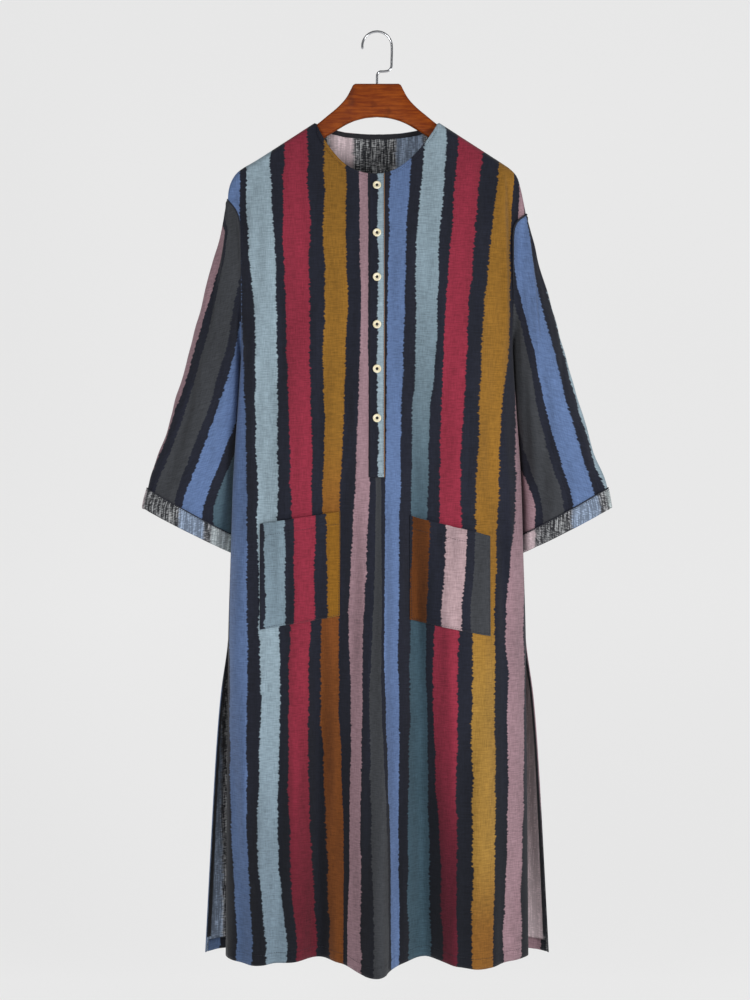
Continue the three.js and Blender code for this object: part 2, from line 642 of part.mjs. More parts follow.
// The wood has a blind hole, a little wider than the wire, that the hook's stem goes into
function drilledHanger() {
  const holeDepth = hangerStations[0].top - HOOK_SEAT_Z + SEAM_GAP;
  const drillRadius = WIRE_RADIUS + WIRE_CLEARANCE;
  const drillLength = holeDepth + DRILL_OVERSHOOT;
  const drill = new THREE.CylinderGeometry(drillRadius, drillRadius, drillLength, 12);
  drill.rotateX(PI / 2);
  drill.translate(0, 0, HOOK_SEAT_Z - SEAM_GAP + drillLength / 2);
  return geometryOf(solidOf(hangerBody()).subtract(solidOf(drill)));
}

// Finishes
const finish = (color, roughness, metalness = 0) =>
  new THREE.MeshStandardMaterial({ color, roughness, metalness, flatShading: true });
const stripedCotton = finish(0x2b3040, 0.9);
const wrongSide = finish(0x8d8f92, 0.95);
const navyTape = finish(0x15171d, 0.85);
const shellButton = finish(0xe6dfc4, 0.35);
const stainedWood = finish(0x7a3a12, 0.4);
const steelWire = finish(0xd9dbde, 0.25, 1);

const robe = new THREE.Group();

function add(name, geometry, material) {
  const mesh = new THREE.Mesh(geometry, material);
  mesh.name = name;
  robe.add(mesh);
  return mesh;
}

add("front_panel", frontPanel(), stripedCotton);
add("back_panel", backPanel(), stripedCotton);
for (const side of ["left", "right"]) {
  add(`sleeve_${side}`, sleeveWall(side, sleeveShares, { seat: seatAtArmhole }), stripedCotton);
  add(`cuff_${side}`, sleeveWall(side, cuffShares, { lift: CLOTH + SEAM_GAP }), wrongSide);
  add(`pocket_${side}`, pocket(pockets[side]), stripedCotton);
  const columns = side === "left" ? bandColumns.map((u) => -u).reverse() : bandColumns;
  add(`neck_band_${side}`, neckBand("front", columns, TRIM + SEAM_GAP), stripedCotton);
  add(`front_slit_fold_${side}`, slitFold("front", side), stripedCotton);
  add(`back_slit_fold_${side}`, slitFold("back", side), stripedCotton);
}
add("neck_tape_back", neckBand("back", tapeColumns, insideLift), navyTape);
add("placket_upper", upperPlacket(), stripedCotton);
add("placket_under", underPlacket(), stripedCotton);
add("front_hem", hemFold("front", frontColumns, frontGrid), stripedCotton);
add("back_hem", hemFold("back", backColumns, backGrid), stripedCotton);

buttonHeights.forEach((z, k) => {
  const here = bodyPoint("front", 0, z);
  const above = bodyPoint("front", 0, z + BUTTON_RADIUS);
  const tilt = Math.atan2(above.y - here.y, BUTTON_RADIUS);
  const mesh = add(`button_${k + 1}`, button(), shellButton);
  mesh.rotation.x = PI - tilt;
  mesh.position.set(0, here.y - BUTTON_STAND * cos(tilt), z + BUTTON_STAND * sin(tilt));
});

add("hanger_body", drilledHanger(), stainedWood);
add("hanger_hook", hookWire(), steelWire);

export default robe;
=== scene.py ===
# Striped cotton kaftan robe on a wooden hanger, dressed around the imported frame
# Sizes are in millimetres and go into the meshes in metres. X right, -Y out of the front, Z up.
import bpy, bmesh, math
import numpy as np
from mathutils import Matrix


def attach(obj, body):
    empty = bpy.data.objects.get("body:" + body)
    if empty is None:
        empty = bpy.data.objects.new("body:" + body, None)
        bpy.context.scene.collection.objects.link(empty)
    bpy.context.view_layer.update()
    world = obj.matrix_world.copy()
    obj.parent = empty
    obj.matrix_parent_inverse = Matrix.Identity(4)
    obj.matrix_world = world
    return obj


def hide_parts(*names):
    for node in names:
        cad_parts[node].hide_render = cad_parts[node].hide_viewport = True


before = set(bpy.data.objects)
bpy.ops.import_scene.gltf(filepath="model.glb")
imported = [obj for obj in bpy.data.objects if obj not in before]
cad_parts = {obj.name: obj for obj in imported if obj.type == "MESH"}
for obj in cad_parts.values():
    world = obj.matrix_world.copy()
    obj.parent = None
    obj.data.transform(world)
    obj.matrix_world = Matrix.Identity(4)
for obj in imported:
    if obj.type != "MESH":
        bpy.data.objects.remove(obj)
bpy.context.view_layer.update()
print("frame loaded:", len(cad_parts), "nodes")

mm = 0.001
pi = math.pi


# Camera, light and floor

photo = {
    "width": 750, "height": 1000,
    "mmPerPixel": 1.525,          # at the plane of the hanger
    "middleX": 377, "hookTopY": 32.8,  # where the photo shows the hook's seat
    "distance": 3000,
    "sensor": 36, "farEndMetres": 30,
}
studio = {
    "wallGrey": 0.16, "wallGlow": 0.70, "wallY": 1500, "floorZ": -1640, "bend": 700, "halfWidth": 4200,
    "front": -4200, "top": 2600, "skyStrength": 0.17,
    "lights": {
        "key": {"place": (-800, -1800, -150), "lookZ": -550, "size": 700, "power": 15},
        "fill": {"place": (1500, -1700, -800), "lookZ": -800, "size": 600, "power": 27},
    },
}


def cameraPlace():
    # the camera's x and z, level with the middle of the photograph
    x = (photo["width"] / 2 - photo["middleX"]) * photo["mmPerPixel"]
    z = (photo["hookTopY"] - photo["height"] / 2) * photo["mmPerPixel"]
    return x, z


def makeCamera():
    data = bpy.data.cameras.new("camera")
    data.sensor_fit = "VERTICAL"
    data.sensor_height = photo["sensor"]
    data.lens = photo["sensor"] * photo["distance"] / (photo["height"] * photo["mmPerPixel"])
    data.clip_end = photo["farEndMetres"]
    camera = bpy.data.objects.new("camera", data)
    x, z = cameraPlace()
    camera.location = (x * mm, -photo["distance"] * mm, z * mm)
    camera.rotation_euler = (pi / 2, 0, 0)
    bpy.context.scene.collection.objects.link(camera)
    bpy.context.scene.camera = camera


def softLight(name, place, lookZ, size, power):
    # a round light that looks at the middle of the robe, at the height lookZ
    data = bpy.data.lights.new(name, "AREA")
    data.shape = "DISK"
    data.size = size * mm
    data.energy = power
    light = bpy.data.objects.new(name, data)
    light.location = [v * mm for v in place]
    towards = np.array([0, 0, lookZ]) - np.array(place)
    light.rotation_euler = (math.atan2(math.hypot(*towards[:2]), -towards[2]), 0,
                            math.atan2(-towards[0], towards[1]))
    bpy.context.scene.collection.objects.link(light)


# Shapes

def smooth(t):
    # 0 below 0, 1 above 1, and 3t^2 - 2t^3 between
    t = np.clip(t, 0, 1)
    return t * t * (3 - 2 * t)


def mix(a, b, t):
    return a + (b - a) * t


def hermite(t, a, startSlope, b, endSlope):
    # the cubic from a to b with these slopes at its ends
    return ((2 * t**3 - 3 * t**2 + 1) * a + (t**3 - 2 * t**2 + t) * startSlope
            + (3 * t**2 - 2 * t**3) * b + (t**3 - t**2) * endSlope)


def curveOf(at, values):
    # a cubic through the values, its slope at each the mean slope over both neighbours
    at, values = np.array(at, float), np.array(values, float)
    if at[0] > at[-1]:
        at, values = at[::-1], values[::-1]
    low = np.maximum(np.arange(len(at)) - 1, 0)
    high = np.minimum(np.arange(len(at)) + 1, len(at) - 1)
    slope = (values[high] - values[low]) / (at[high] - at[low])

    def curve(t):
        t = np.asarray(t, float)
        i = np.clip(np.searchsorted(at, t, side="right") - 1, 0, len(at) - 2)
        span = at[i + 1] - at[i]
        k = np.clip((t - at[i]) / span, 0, 1)
        return hermite(k, values[i], span * slope[i], values[i + 1], span * slope[i + 1])
    return curve


def columnCurve(table, k):
    # the table's column k against its first
    return curveOf(table[:, 0], table[:, k])


def lineLength(line):
    # how far along a line of points each of them is
    return np.concatenate([[0], np.cumsum(np.linalg.norm(np.diff(line, axis=0), axis=1))])


def readAt(places, at, values):
    # each column of the values, straight between the places at which they are known
    return np.stack([np.interp(places, at, column) for column in values.T], axis=1)


def splineByLength(points, count=400):
    # the centripetal spline through the points, as places against the share of its length
    p = np.array(points, float)
    p = np.vstack([2 * p[0] - p[1], p, 2 * p[-1] - p[-2]])
    t = np.linspace(0, 1, count, endpoint=False)[:, None]
    rows = []
    for a, b, c, d in zip(p, p[1:], p[2:], p[3:]):
        ab, bc, cd = (max(np.linalg.norm(v), 1e-6) ** 0.5 for v in (b - a, c - b, d - c))
        start = bc * ((b - a) / ab - (c - a) / (ab + bc) + (c - b) / bc)
        end = bc * ((c - b) / bc - (d - b) / (bc + cd) + (d - c) / cd)
        rows.append(hermite(t, b, start, c, end))
    rows.append(p[-2][None])
    line = np.vstack(rows)
    length = lineLength(line)
    return length / length[-1], line


def gridNormals(p, closed=False):
    # the cross product of the two directions of the grid, at each of its points
    if closed:
        across = np.roll(p, -1, axis=1) - np.roll(p, 1, axis=1)
    else:
        across = np.gradient(p, axis=1)
    n = np.cross(np.gradient(p, axis=0), across)
    return n / np.maximum(np.linalg.norm(n, axis=2, keepdims=True), 1e-9)


def meshObject(name, points, faces):
    # points in metres, shaded smooth
    mesh = bpy.data.meshes.new(name)
    mesh.from_pydata(points, [], faces)
    mesh.polygons.foreach_set("use_smooth", np.ones(len(faces), bool))
    mesh.update()
    piece = bpy.data.objects.new(name, mesh)
    bpy.context.scene.collection.objects.link(piece)
    return piece


def gridMesh(name, p, uv=None, closed=False, keep=None, flip=False):
    # one quad for each cell of the grid p[row, column], with its cloth places in the map "cloth"
    rows, columns = p.shape[:2]
    cells = columns if closed else columns - 1
    j, i = np.meshgrid(np.arange(rows - 1), np.arange(cells), indexing="ij")
    if keep is not None:
        j, i = j[keep], i[keep]
    j, i = j.ravel(), i.ravel()
    n = (i + 1) % columns
    corners = [(j, i, i), (j + 1, i, i), (j + 1, n, i + 1), (j, n, i + 1)]
    if flip:
        corners.reverse()
    faces = np.stack([row * columns + column for row, column, _ in corners], axis=1)
    used, index = np.unique(faces, return_inverse=True)
    piece = meshObject(name, (p.reshape(-1, 3)[used] * mm).tolist(), index.reshape(faces.shape).tolist())
    if uv is not None:
        layer = piece.data.uv_layers.new(name="cloth")
        loops = np.stack([uv[row, place] for row, _, place in corners], axis=1)
        layer.data.foreach_set("uv", loops.ravel().astype(np.float32))
    return piece


def closeMesh(piece, poles=False):
    # merges the rings that shrink to a point, or fills the open ends, and turns the faces outwards
    form = bmesh.new()
    form.from_mesh(piece.data)
    if poles:
        bmesh.ops.remove_doubles(form, verts=form.verts, dist=1e-6)
    else:
        bmesh.ops.holes_fill(form, edges=[e for e in form.edges if e.is_boundary], sides=0)
    bmesh.ops.recalc_face_normals(form, faces=form.faces)
    form.to_mesh(piece.data)
    form.free()
    piece.data.polygons.foreach_set("use_smooth", np.ones(len(piece.data.polygons), bool))


def joinPieces(name, pieces):
    # one mesh from several, with their vertices and faces end to end
    points, faces = [], []
    for piece in pieces:
        start = len(points)
        points += [v.co[:] for v in piece.data.vertices]
        faces += [[v + start for v in face.vertices] for face in piece.data.polygons]
        bpy.data.objects.remove(piece)
    return meshObject(name, points, faces)


def thicken(piece, thickness, inside=1):
    # a cloth's thickness goes inwards, with the wrong side on the inside
    solid = piece.modifiers.new("thickness", "SOLIDIFY")
    solid.thickness = thickness * mm
    solid.offset = -1
    solid.material_offset = inside
    solid.use_even_offset = False


def finishPiece(piece, materials, node=None):
    for material in materials:
        piece.data.materials.append(material)
    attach(piece, "root")
    if node:
        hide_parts(node)
    return piece


def clothPiece(name, p, uv, thickness, node, cut, held, restsOn=(), area=None, materials=None,
               slotName="striped_cotton", **grid):
    # a surface with a cloth's thickness in place of its node; the cut (in metres) and its area where it
    # is no rectangle are not used, and the materials are the outer side's and the inner side's
    materials = materials or [striped, pale]
    piece = gridMesh(name, p, uv, **grid)
    thicken(piece, thickness, len(materials) - 1)
    finishPiece(piece, materials, node)


# The robe's form, as its solids have it

robe = {
    "neckHalf": 94, "neckZ": -137, "neckRise": 0.8, "frontNeckDrop": 85,
    "frontNeckPower": {"left": 2.5, "right": 2.0}, "backNeckDrop": 14, "backNeckPower": 2.5,
    "chestHalf": 206, "armpitZ": -484, "shoulderSlope": 0.6457, "endStart": 175,
    "armholeHalfDepth": 26, "ridgeRadius": 9, "ridgeFall": 55, "shoulderFade": {"left": 18, "right": 11},
    "sideSharpness": 0.85, "edgeStart": 0.7, "foldMargin": 0.16, "foldSharpness": 1.6,
    "placketHalf": 12, "placketBottomZ": -679, "slitTopZ": -923, "slitSpread": 13,
    "hemZ": -1404, "hemDepth": 19, "hemFall": 0.36, "hemSettleZ": -1250, "seamGap": 0.4,
    "cloth": 1.5,
}
# height, half width in front and behind, depth in front and behind
bodyLevels = np.array([
    (-137, 206, 206, 15, 12), (-217, 206, 206, 38, 27), (-300, 206, 206, 55, 42), (-400, 206, 206, 68, 52),
    (-484, 207, 207, 74, 57), (-679, 219.5, 219.5, 76, 60), (-790, 223, 223, 77, 60),
    (-923, 227, 227, 78, 60), (-1010, 227, 238.5, 78, 60), (-1100, 228, 246, 78, 60),
    (-1260, 229, 255.5, 77, 59), (-1420, 230, 264, 76, 58),
])
halfWidth = {"front": columnCurve(bodyLevels, 1), "back": columnCurve(bodyLevels, 2)}
depth = {"front": columnCurve(bodyLevels, 3), "back": columnCurve(bodyLevels, 4)}
shoulderEnd = {  # distance from the middle and height, down over the end of the hanger
    "left": [(175, -189.3), (190, -198.5), (204, -206.5), (215, -215.5), (223, -229), (226.5, -242),
             (227.5, -254)],
    "right": [(175, -189.3), (190, -199), (203, -208), (213, -219), (219, -238), (224, -261), (227, -277)],
}
endCurve = {side: splineByLength(points) for side, points in shoulderEnd.items()}
bodyFolds = {  # centre at the hem, half width, swell at the hem, height of its start
    "front": [(-6, 40, 32, -640), (-186, 48, 11, -760), (152, 52, 15, -700), (-92, 46, -13, -640),
              (74, 44, -16, -600)],
    "back": [(-150, 60, 16, -640), (20, 70, 20, -560), (165, 50, 13, -700), (-65, 48, -12, -640),
             (100, 48, -12, -640)],
}


def turnOf(x):
    # the share of the turn at which the shoulder's line is x from the middle
    return math.asin(x / robe["chestHalf"]) / (pi / 2)


def bySide(u, table):
    return np.where(u < 0, table["left"], table["right"])


def ridgeTop(u):
    # the shoulder's line: over the neck, straight along the arm, then the curve round the hanger's end
    x = robe["chestHalf"] * np.sin(np.abs(u) * pi / 2)
    share = np.clip((x - robe["endStart"]) / (robe["chestHalf"] - robe["endStart"]), 0, 1)
    z = np.where(x <= robe["neckHalf"], robe["neckZ"] + robe["neckRise"] * (robe["neckHalf"] - x),
                 robe["neckZ"] - robe["shoulderSlope"] * (x - robe["neckHalf"]))
    for side, (at, line) in endCurve.items():
        there = (x > robe["endStart"]) & ((u < 0) == (side == "left"))
        x = np.where(there, np.interp(share, at, line[:, 0]), x)
        z = np.where(there, np.interp(share, at, line[:, 1]), z)
    return x, z, share


def topEdge(face, u):
    # the shoulder's line outside the neck points, and the neckline's power curve between them
    x, z, _ = ridgeTop(u)
    share = np.clip(x / robe["neckHalf"], 0, 1)
    if face == "front":
        neck = robe["neckZ"] - robe["frontNeckDrop"] * (1 - share ** bySide(u, robe["frontNeckPower"]))
    else:
        neck = robe["neckZ"] - robe["backNeckDrop"] * (1 - share ** robe["backNeckPower"])
    return np.where(x >= robe["neckHalf"], z, neck)


def dropFade(drop, length):
    # 1 at the shoulder's line, falling off below it over the length
    return np.exp(-(np.maximum(0, drop) / length) ** 1.25)


def armholeDepth(u, z):
    # a pointed oval between the shoulder's end and the armpit
    top = np.where(u < 0, shoulderEnd["left"][-1][1], shoulderEnd["right"][-1][1])
    c = np.minimum(1, np.abs((z - (top + robe["armpitZ"]) / 2) / ((top - robe["armpitZ"]) / 2)))
    return robe["armholeHalfDepth"] * (1 - c * c) ** 0.75


def foldSwell(face, x, z):
    # the sum of bells across, each growing from its start down to the hem
    total = np.zeros(np.broadcast(x, z).shape)
    for centre, half, swell, start in bodyFolds[face]:
        growth = smooth((start - z) / (start - robe["hemZ"]))
        total = total + swell * growth * np.exp(-robe["foldSharpness"] * ((x - centre) / half) ** 2)
    return total


def bodyPoint(face, u, z, extra=None):
    # x is the half width times the sine of the turn; out is the depth times a power of its cosine, plus the
    # round of the shoulder, the armhole, the folds and the creases
    turn = u * pi / 2
    ridgeX, ridgeZ, share = ridgeTop(u)
    drop = ridgeZ - z
    fade = dropFade(drop, bySide(u, robe["shoulderFade"]))
    spread = (ridgeX - robe["chestHalf"] * np.abs(np.sin(turn))) * fade
    x = halfWidth[face](z) * np.sin(turn) + np.sign(u) * spread
    roundness = np.maximum(0.01, robe["ridgeRadius"] * (1 - share ** 3))
    overRidge = roundness * np.sqrt(np.maximum(0, 1 - (1 - np.clip(drop / roundness, 0, 1)) ** 2))
    swell = (depth[face](z) * np.maximum(0, np.cos(turn)) ** robe["sideSharpness"]
             * (1 - np.exp(-np.maximum(0, drop) / robe["ridgeFall"])))
    edge = np.clip((np.abs(u) - robe["edgeStart"]) / (1 - robe["edgeStart"]), 0, 1) ** 2
    slit = robe["slitSpread"] * smooth((robe["slitTopZ"] - z) / (robe["slitTopZ"] - robe["hemZ"]))
    folds = foldSwell(face, x, z) * smooth((1 - np.abs(u)) / robe["foldMargin"])
    out = robe["seamGap"] / 2 + overRidge + swell + edge * (armholeDepth(u, z) + slit) + folds
    if extra is not None:
        out = np.maximum(out + extra(u, x, z, drop), robe["seamGap"] / 2)
    return np.stack([x, -out if face == "front" else out, z + 0 * x], axis=-1)


def acrossAt(x, z):
    return np.arcsin(np.clip(x / halfWidth["front"](z), -1, 1)) / (pi / 2)


def hemHeight(face, u):
    x = halfWidth[face](robe["hemZ"]) * np.sin(u * pi / 2)
    if face == "back":
        return robe["hemZ"] - 2 - 3 * np.cos(x / 60)
    return robe["hemZ"] + 2 - robe["hemFall"] * foldSwell("front", x, robe["hemZ"])


# Creases, given one by one

# start x and z, end x and z, half width, height (a trough is negative), and the right side's width as a share
creases = {
    "front": [
        (-56, -690, -50, -1404, 11, -6.0, 1.7),     # the released tuck: its left root
        (13, -684, 12, -1404, 16, 15.0, 0.24),      # and its steep right edge
        (27, -690, 31, -1404, 11, -9.0, 1.3),
        (46, -610, 54, -960, 19, -9.0, 1.0),        # broad ones above and beside the pockets
        (122, -590, 130, -1080, 25, 8.0, 1.0),
        (-142, -690, -150, -1404, 21, -10.0, 1.0),
        (-50, -630, -55, -930, 11, -7.0, 1.0),
        (-198, -700, -204, -1200, 18, 6.0, 0.8),
        (-60, -586, -43, -622, 3.4, -2.4, 1.0),     # crumpled beside the placket's foot
        (-53, -600, -40, -640, 2.8, 2.0, 1.0),
        (-66, -644, -46, -656, 3.0, -2.0, 1.0),
        (-46, -640, -58, -700, 3.4, 2.2, 1.0),
        (-62, -700, -44, -716, 3.0, -1.8, 1.0),
        (34, -640, 62, -668, 3.6, -2.0, 1.0),
        (30, -676, 58, -712, 3.4, 1.8, 1.0),
        (-16, -690, -22, -1250, 14, 4.0, 1.0),
        (-30, -700, -36, -980, 6, -2.6, 1.0),
        (-88, -740, -86, -1404, 20, -20.0, 1.1),    # the dark valley on the left
        (-120, -900, -124, -1404, 20, 9.0, 0.8),
        (56, -690, 66, -1404, 17, -19.0, 1.2),      # and the one on the right
        (106, -800, 114, -1404, 20, 8.0, 0.8),
        (158, -760, 160, -1404, 22, 7.0, 1.0),
        (194, -196, 197, -480, 7, 7.5, 0.42),       # the edge that stands proud of the right armhole
        (-204, -300, -205, -470, 7, 3.0, 1.6),
        (-188, -250, -176, -420, 14, -3.0, 1.0),
        (172, -300, 166, -520, 16, -3.6, 1.0),
        (-218, -218, -206, -268, 4.5, 3.6, 0.8),    # short gathers at the left shoulder end
        (-208, -212, -198, -262, 4.0, 2.8, 1.0),
        (-200, -206, -186, -252, 4.0, -2.2, 1.0),
        (-148, -330, -160, -640, 26, -5.0, 0.8),
        (-112, -430, -128, -760, 20, 4.6, 1.0),
        (-84, -200, -72, -330, 12, 2.0, 1.0),
        (-64, -300, -58, -620, 18, -3.4, 1.0),
        (-30, -520, -24, -668, 8, 3.2, 0.8),        # drawn by the stitching of the placket
        (-42, -560, -36, -690, 6, -2.4, 1.0),
        (28, -540, 36, -672, 7, -3.2, 1.0),
        (44, -620, 40, -690, 5, 1.8, 1.0),
        (38, -330, 50, -560, 14, 3.2, 1.0),
        (96, -360, 88, -640, 22, -5.0, 1.2),
        (140, -430, 150, -760, 24, 5.4, 0.8),
        (84, -220, 96, -360, 16, 2.6, 1.0),
        (206, -560, 214, -700, 10, -4.0, 1.0),      # beside the right pink stripe
        (194, -600, 203, -830, 9, 4.0, 0.6),
        (186, -760, 192, -920, 7, -3.0, 1.0),
        (-196, -520, -206, -800, 14, -4.0, 1.0),
        (-206, -760, -214, -1010, 9, 3.4, 1.0),
        (-212, -1020, -206, -1404, 11, -4.4, 1.0),
        (-160, -1060, -172, -1404, 15, 4.6, 1.1),
        (186, -940, 190, -1404, 13, -5.0, 1.0),
        (214, -980, 216, -1300, 8, 3.4, 1.0),
        (-206, -1290, -182, -1300, 3.2, -2.8, 1.0),  # small puckers beside the left slit
        (-200, -1276, -180, -1284, 3.0, 1.8, 1.0),
        (-170, -1356, -140, -1362, 3.2, -1.8, 1.0),
        (-204, -1358, -182, -1372, 3.0, -2.4, 1.0),
        (-150, -1372, -118, -1388, 3.2, -2.0, 1.0),
        (204, -1290, 210, -1350, 6, -3.0, 0.8),
    ],
    "back": [
        (-20, -260, -34, -760, 26, 4.6, 0.9),
        (-92, -300, -104, -700, 24, -4.2, 1.1),
        (58, -280, 72, -820, 26, -4.6, 0.8),
        (122, -320, 128, -700, 22, 4.0, 1.0),
        (-160, -380, -172, -820, 22, 4.2, 0.8),
        (182, -420, 192, -800, 16, -3.8, 1.0),
        (-198, -300, -202, -470, 10, 2.8, 1.0),
        (196, -300, 200, -470, 10, 2.8, 1.0),
        (-44, -720, -52, -1404, 17, -5.6, 1.3),
        (6, -700, 14, -1404, 22, 6.4, 0.7),
        (84, -820, 98, -1404, 18, -5.2, 1.0),
        (136, -780, 150, -1404, 20, 5.0, 1.1),
        (-112, -820, -126, -1404, 20, 5.2, 0.8),
        (-186, -900, -204, -1404, 16, -4.6, 1.0),
        (206, -920, 224, -1404, 14, -3.6, 1.0),
        (-226, -1000, -244, -1404, 12, 2.6, 1.0),
        (30, -1000, 44, -1300, 9, -3.0, 1.0),
        (-76, -1040, -80, -1360, 10, 2.6, 1.0),
        (164, -420, 150, -520, 7, -1.8, 1.0),
        (-150, -430, -138, -540, 7, -1.8, 1.0),
    ],
}
creaseEnds = {"past": 0.12, "fade": 0.34, "hemFade": 0.5}  # shares of a crease's length
ripples = {"count": 26, "height": 0.5, "narrow": 9, "wide": 46, "long": 260, "slowDown": (70, 160),
           "slowAcross": (90, 260), "seed": 7}
reliefMargin = {"side": 0.035, "topStart": 2, "topFade": 16}  # creases stop short of the seams


def creaseRelief(rows, x, z):
    # each crease is a bell of the distance from its line, wider on one side, that dies out past both ends
    total = np.zeros(np.broadcast(x, z).shape)
    for x0, z0, x1, z1, half, height, rightShare in rows:
        length = math.hypot(x1 - x0, z1 - z0)
        dx, dz = (x1 - x0) / length, (z1 - z0) / length
        along = ((x - x0) * dx + (z - z0) * dz) / length
        off = (x - x0) * -dz + (z - z0) * dx
        width = np.where(off > 0, half * rightShare, half)
        past, fade = creaseEnds["past"], creaseEnds["fade"]
        ends = smooth((along + past) / fade) * smooth((1 + past - along) / fade)
        if z1 <= robe["hemZ"]:
            ends = smooth((along + past) / creaseEnds["hemFade"])
        total = total + height * ends * np.exp(-(off / width) ** 2)
    return total


def rippleRelief(x, z, seed):
    # a sum of slight waves, narrow across and long down, with places and directions drawn from the seed
    rng = np.random.default_rng(ripples["seed"] + seed)
    total = np.zeros(np.broadcast(x, z).shape)
    for _ in range(ripples["count"]):
        wave = rng.uniform(ripples["narrow"], ripples["wide"])
        lean = rng.uniform(-1, 1) * wave / ripples["long"]
        phase = rng.uniform(0, 2 * pi, 2)
        turns = z / rng.uniform(*ripples["slowDown"]) + x / rng.uniform(*ripples["slowAcross"])
        slow = 0.5 + 0.5 * np.sin(turns + phase[1])
        total = total + slow * wave / ripples["wide"] * np.sin(2 * pi * (x + lean * z) / wave + phase[0])
    return ripples["height"] * total


def bodyRelief(face, seed):
    # creases and ripples, which fade out at the side seams and under the shoulder's line
    def relief(u, x, z, drop):
        margin = smooth((1 - np.abs(u)) / reliefMargin["side"])
        margin = margin * smooth((drop - reliefMargin["topStart"]) / reliefMargin["topFade"])
        return margin * (creaseRelief(creases[face], x, z) + rippleRelief(x, z, seed))
    return relief


reliefOf = {"front": bodyRelief("front", 1), "back": bodyRelief("back", 2)}


def panelNormals(face, p):
    # out of the robe, whichever way the grid runs
    return gridNormals(p) * (1 if face == "front" else -1)


def onFront(x, z, lift=0.0):
    # the front's own point at x and z, moved out along its normal
    def at(dx, dz):
        return bodyPoint("front", acrossAt(x + dx, z + dz), z + dz, reliefOf["front"])
    here, step = at(0, 0), 1.5
    across, down = at(step, 0) - at(-step, 0), at(0, -step) - at(0, step)
    n = np.cross(down, across)
    n = n / np.linalg.norm(n, axis=-1, keepdims=True)
    return here + n * np.asarray(lift)[..., None], n


# Stripes: the front's and the pockets' are charted by their edges, the sleeves' by their middles

def linear(red, green, blue):
    # a colour picked on a 0 to 255 screen, as light
    return tuple(v / 12.92 if v <= 0.04045 else ((v + 0.055) / 1.055) ** 2.4
                 for v in (red / 255, green / 255, blue / 255)) + (1,)


cotton = {
    # the ground's darker colour down low is painted shade of the lower folds
    "ground": linear(34, 36, 49), "groundTwin": linear(26, 29, 38), "groundShadeLow": linear(20, 22, 27),
    "blue": linear(90, 112, 152), "lightBlue": linear(141, 160, 171), "crimson": linear(136, 42, 60),
    "mustard": linear(138, 98, 36), "pink": linear(146, 118, 126), "grey": linear(58, 60, 64),
    "share": {"blue": 0.68, "lightBlue": 0.68, "crimson": 0.68, "mustard": 0.62, "pink": 0.54, "grey": 0.76},
    "slow": 0.05, "slowPerMetre": 9.0, "drift": 0.07, "driftPerMetre": 18.0,
    "teeth": 0.095, "teethPerMetre": 270.0, "soft": 0.014, "shadeFrom": 0.85, "shadeTo": 1.38, "shadeMost": 0.7,
    # noises, as counts per metre across and down
    "weft": (70, 640), "warp": (900, 60), "cloud": (24, 9), "patch": (30, 5),
    "weftLight": 0.17, "warpLight": 0.13, "patchLight": 0.10, "weftShare": 0.6,
    "roughness": 0.88, "sheen": 0.12, "bump": 0.45,
}
wrongSide = {
    "ground": linear(184, 185, 188), "blue": linear(162, 180, 206), "lightBlue": linear(206, 216, 218),
    "crimson": linear(186, 128, 142), "mustard": linear(190, 170, 130), "pink": linear(224, 204, 209),
    "grey": linear(168, 170, 172), "dash": linear(18, 20, 26), "soft": 0.14,
    "dashes": (130, 760), "streaks": (560, 40), "bands": (150, 4), "bandDepth": -0.3, "level": 0.46,
    "mostDark": 0.96, "spared": 0.60, "blueSpared": -0.28,
    "roughness": 0.94, "sheen": 0.1, "bump": 0.5,
}
threadHeight = 0.0008  # metres
clothGloss = 0.15
# how far apart the stripes and their edges read their noise, so that no two are alike
lanes = {"edge": 7.3, "side": 2.1, "middle": 5.7, "patch": 3.7}
stripeNames = ["blue", "lightBlue", "crimson", "mustard", "pink", "grey"]
# stripes whose colour changes down their length, as painted shade and painted highlight of the broad folds
# below
# the waist, partly dye (the teal of stripe 7): number, colour reached, and between which heights in metres
# below the hook; the pockets' stripes are recoloured whole, darker or lighter
foldShadeAndDye = [
    (0, linear(78, 98, 132), 1.10, 1.40), (1, linear(116, 134, 147), 0.90, 1.35),
    (2, linear(96, 29, 42), 0.98, 1.34), (3, linear(116, 66, 28), 0.56, 0.86),
    (7, linear(58, 80, 92), 0.12, 0.85), (8, linear(86, 26, 40), 0.98, 1.30),
    (9, linear(152, 116, 52), 0.80, 1.02), (9, linear(132, 88, 36), 1.22, 1.38),
    (15, linear(92, 50, 18), 0.0, 0.1), (16, linear(168, 143, 147), 0.0, 0.1),  # the right pocket's
    (19, linear(116, 135, 147), 0.0, 0.1), (21, linear(126, 86, 24), 0.0, 0.1),  # the left pocket's
]
unit = 51.0  # cloth from the middle of one stripe to the next, counted from 0 at a blue one
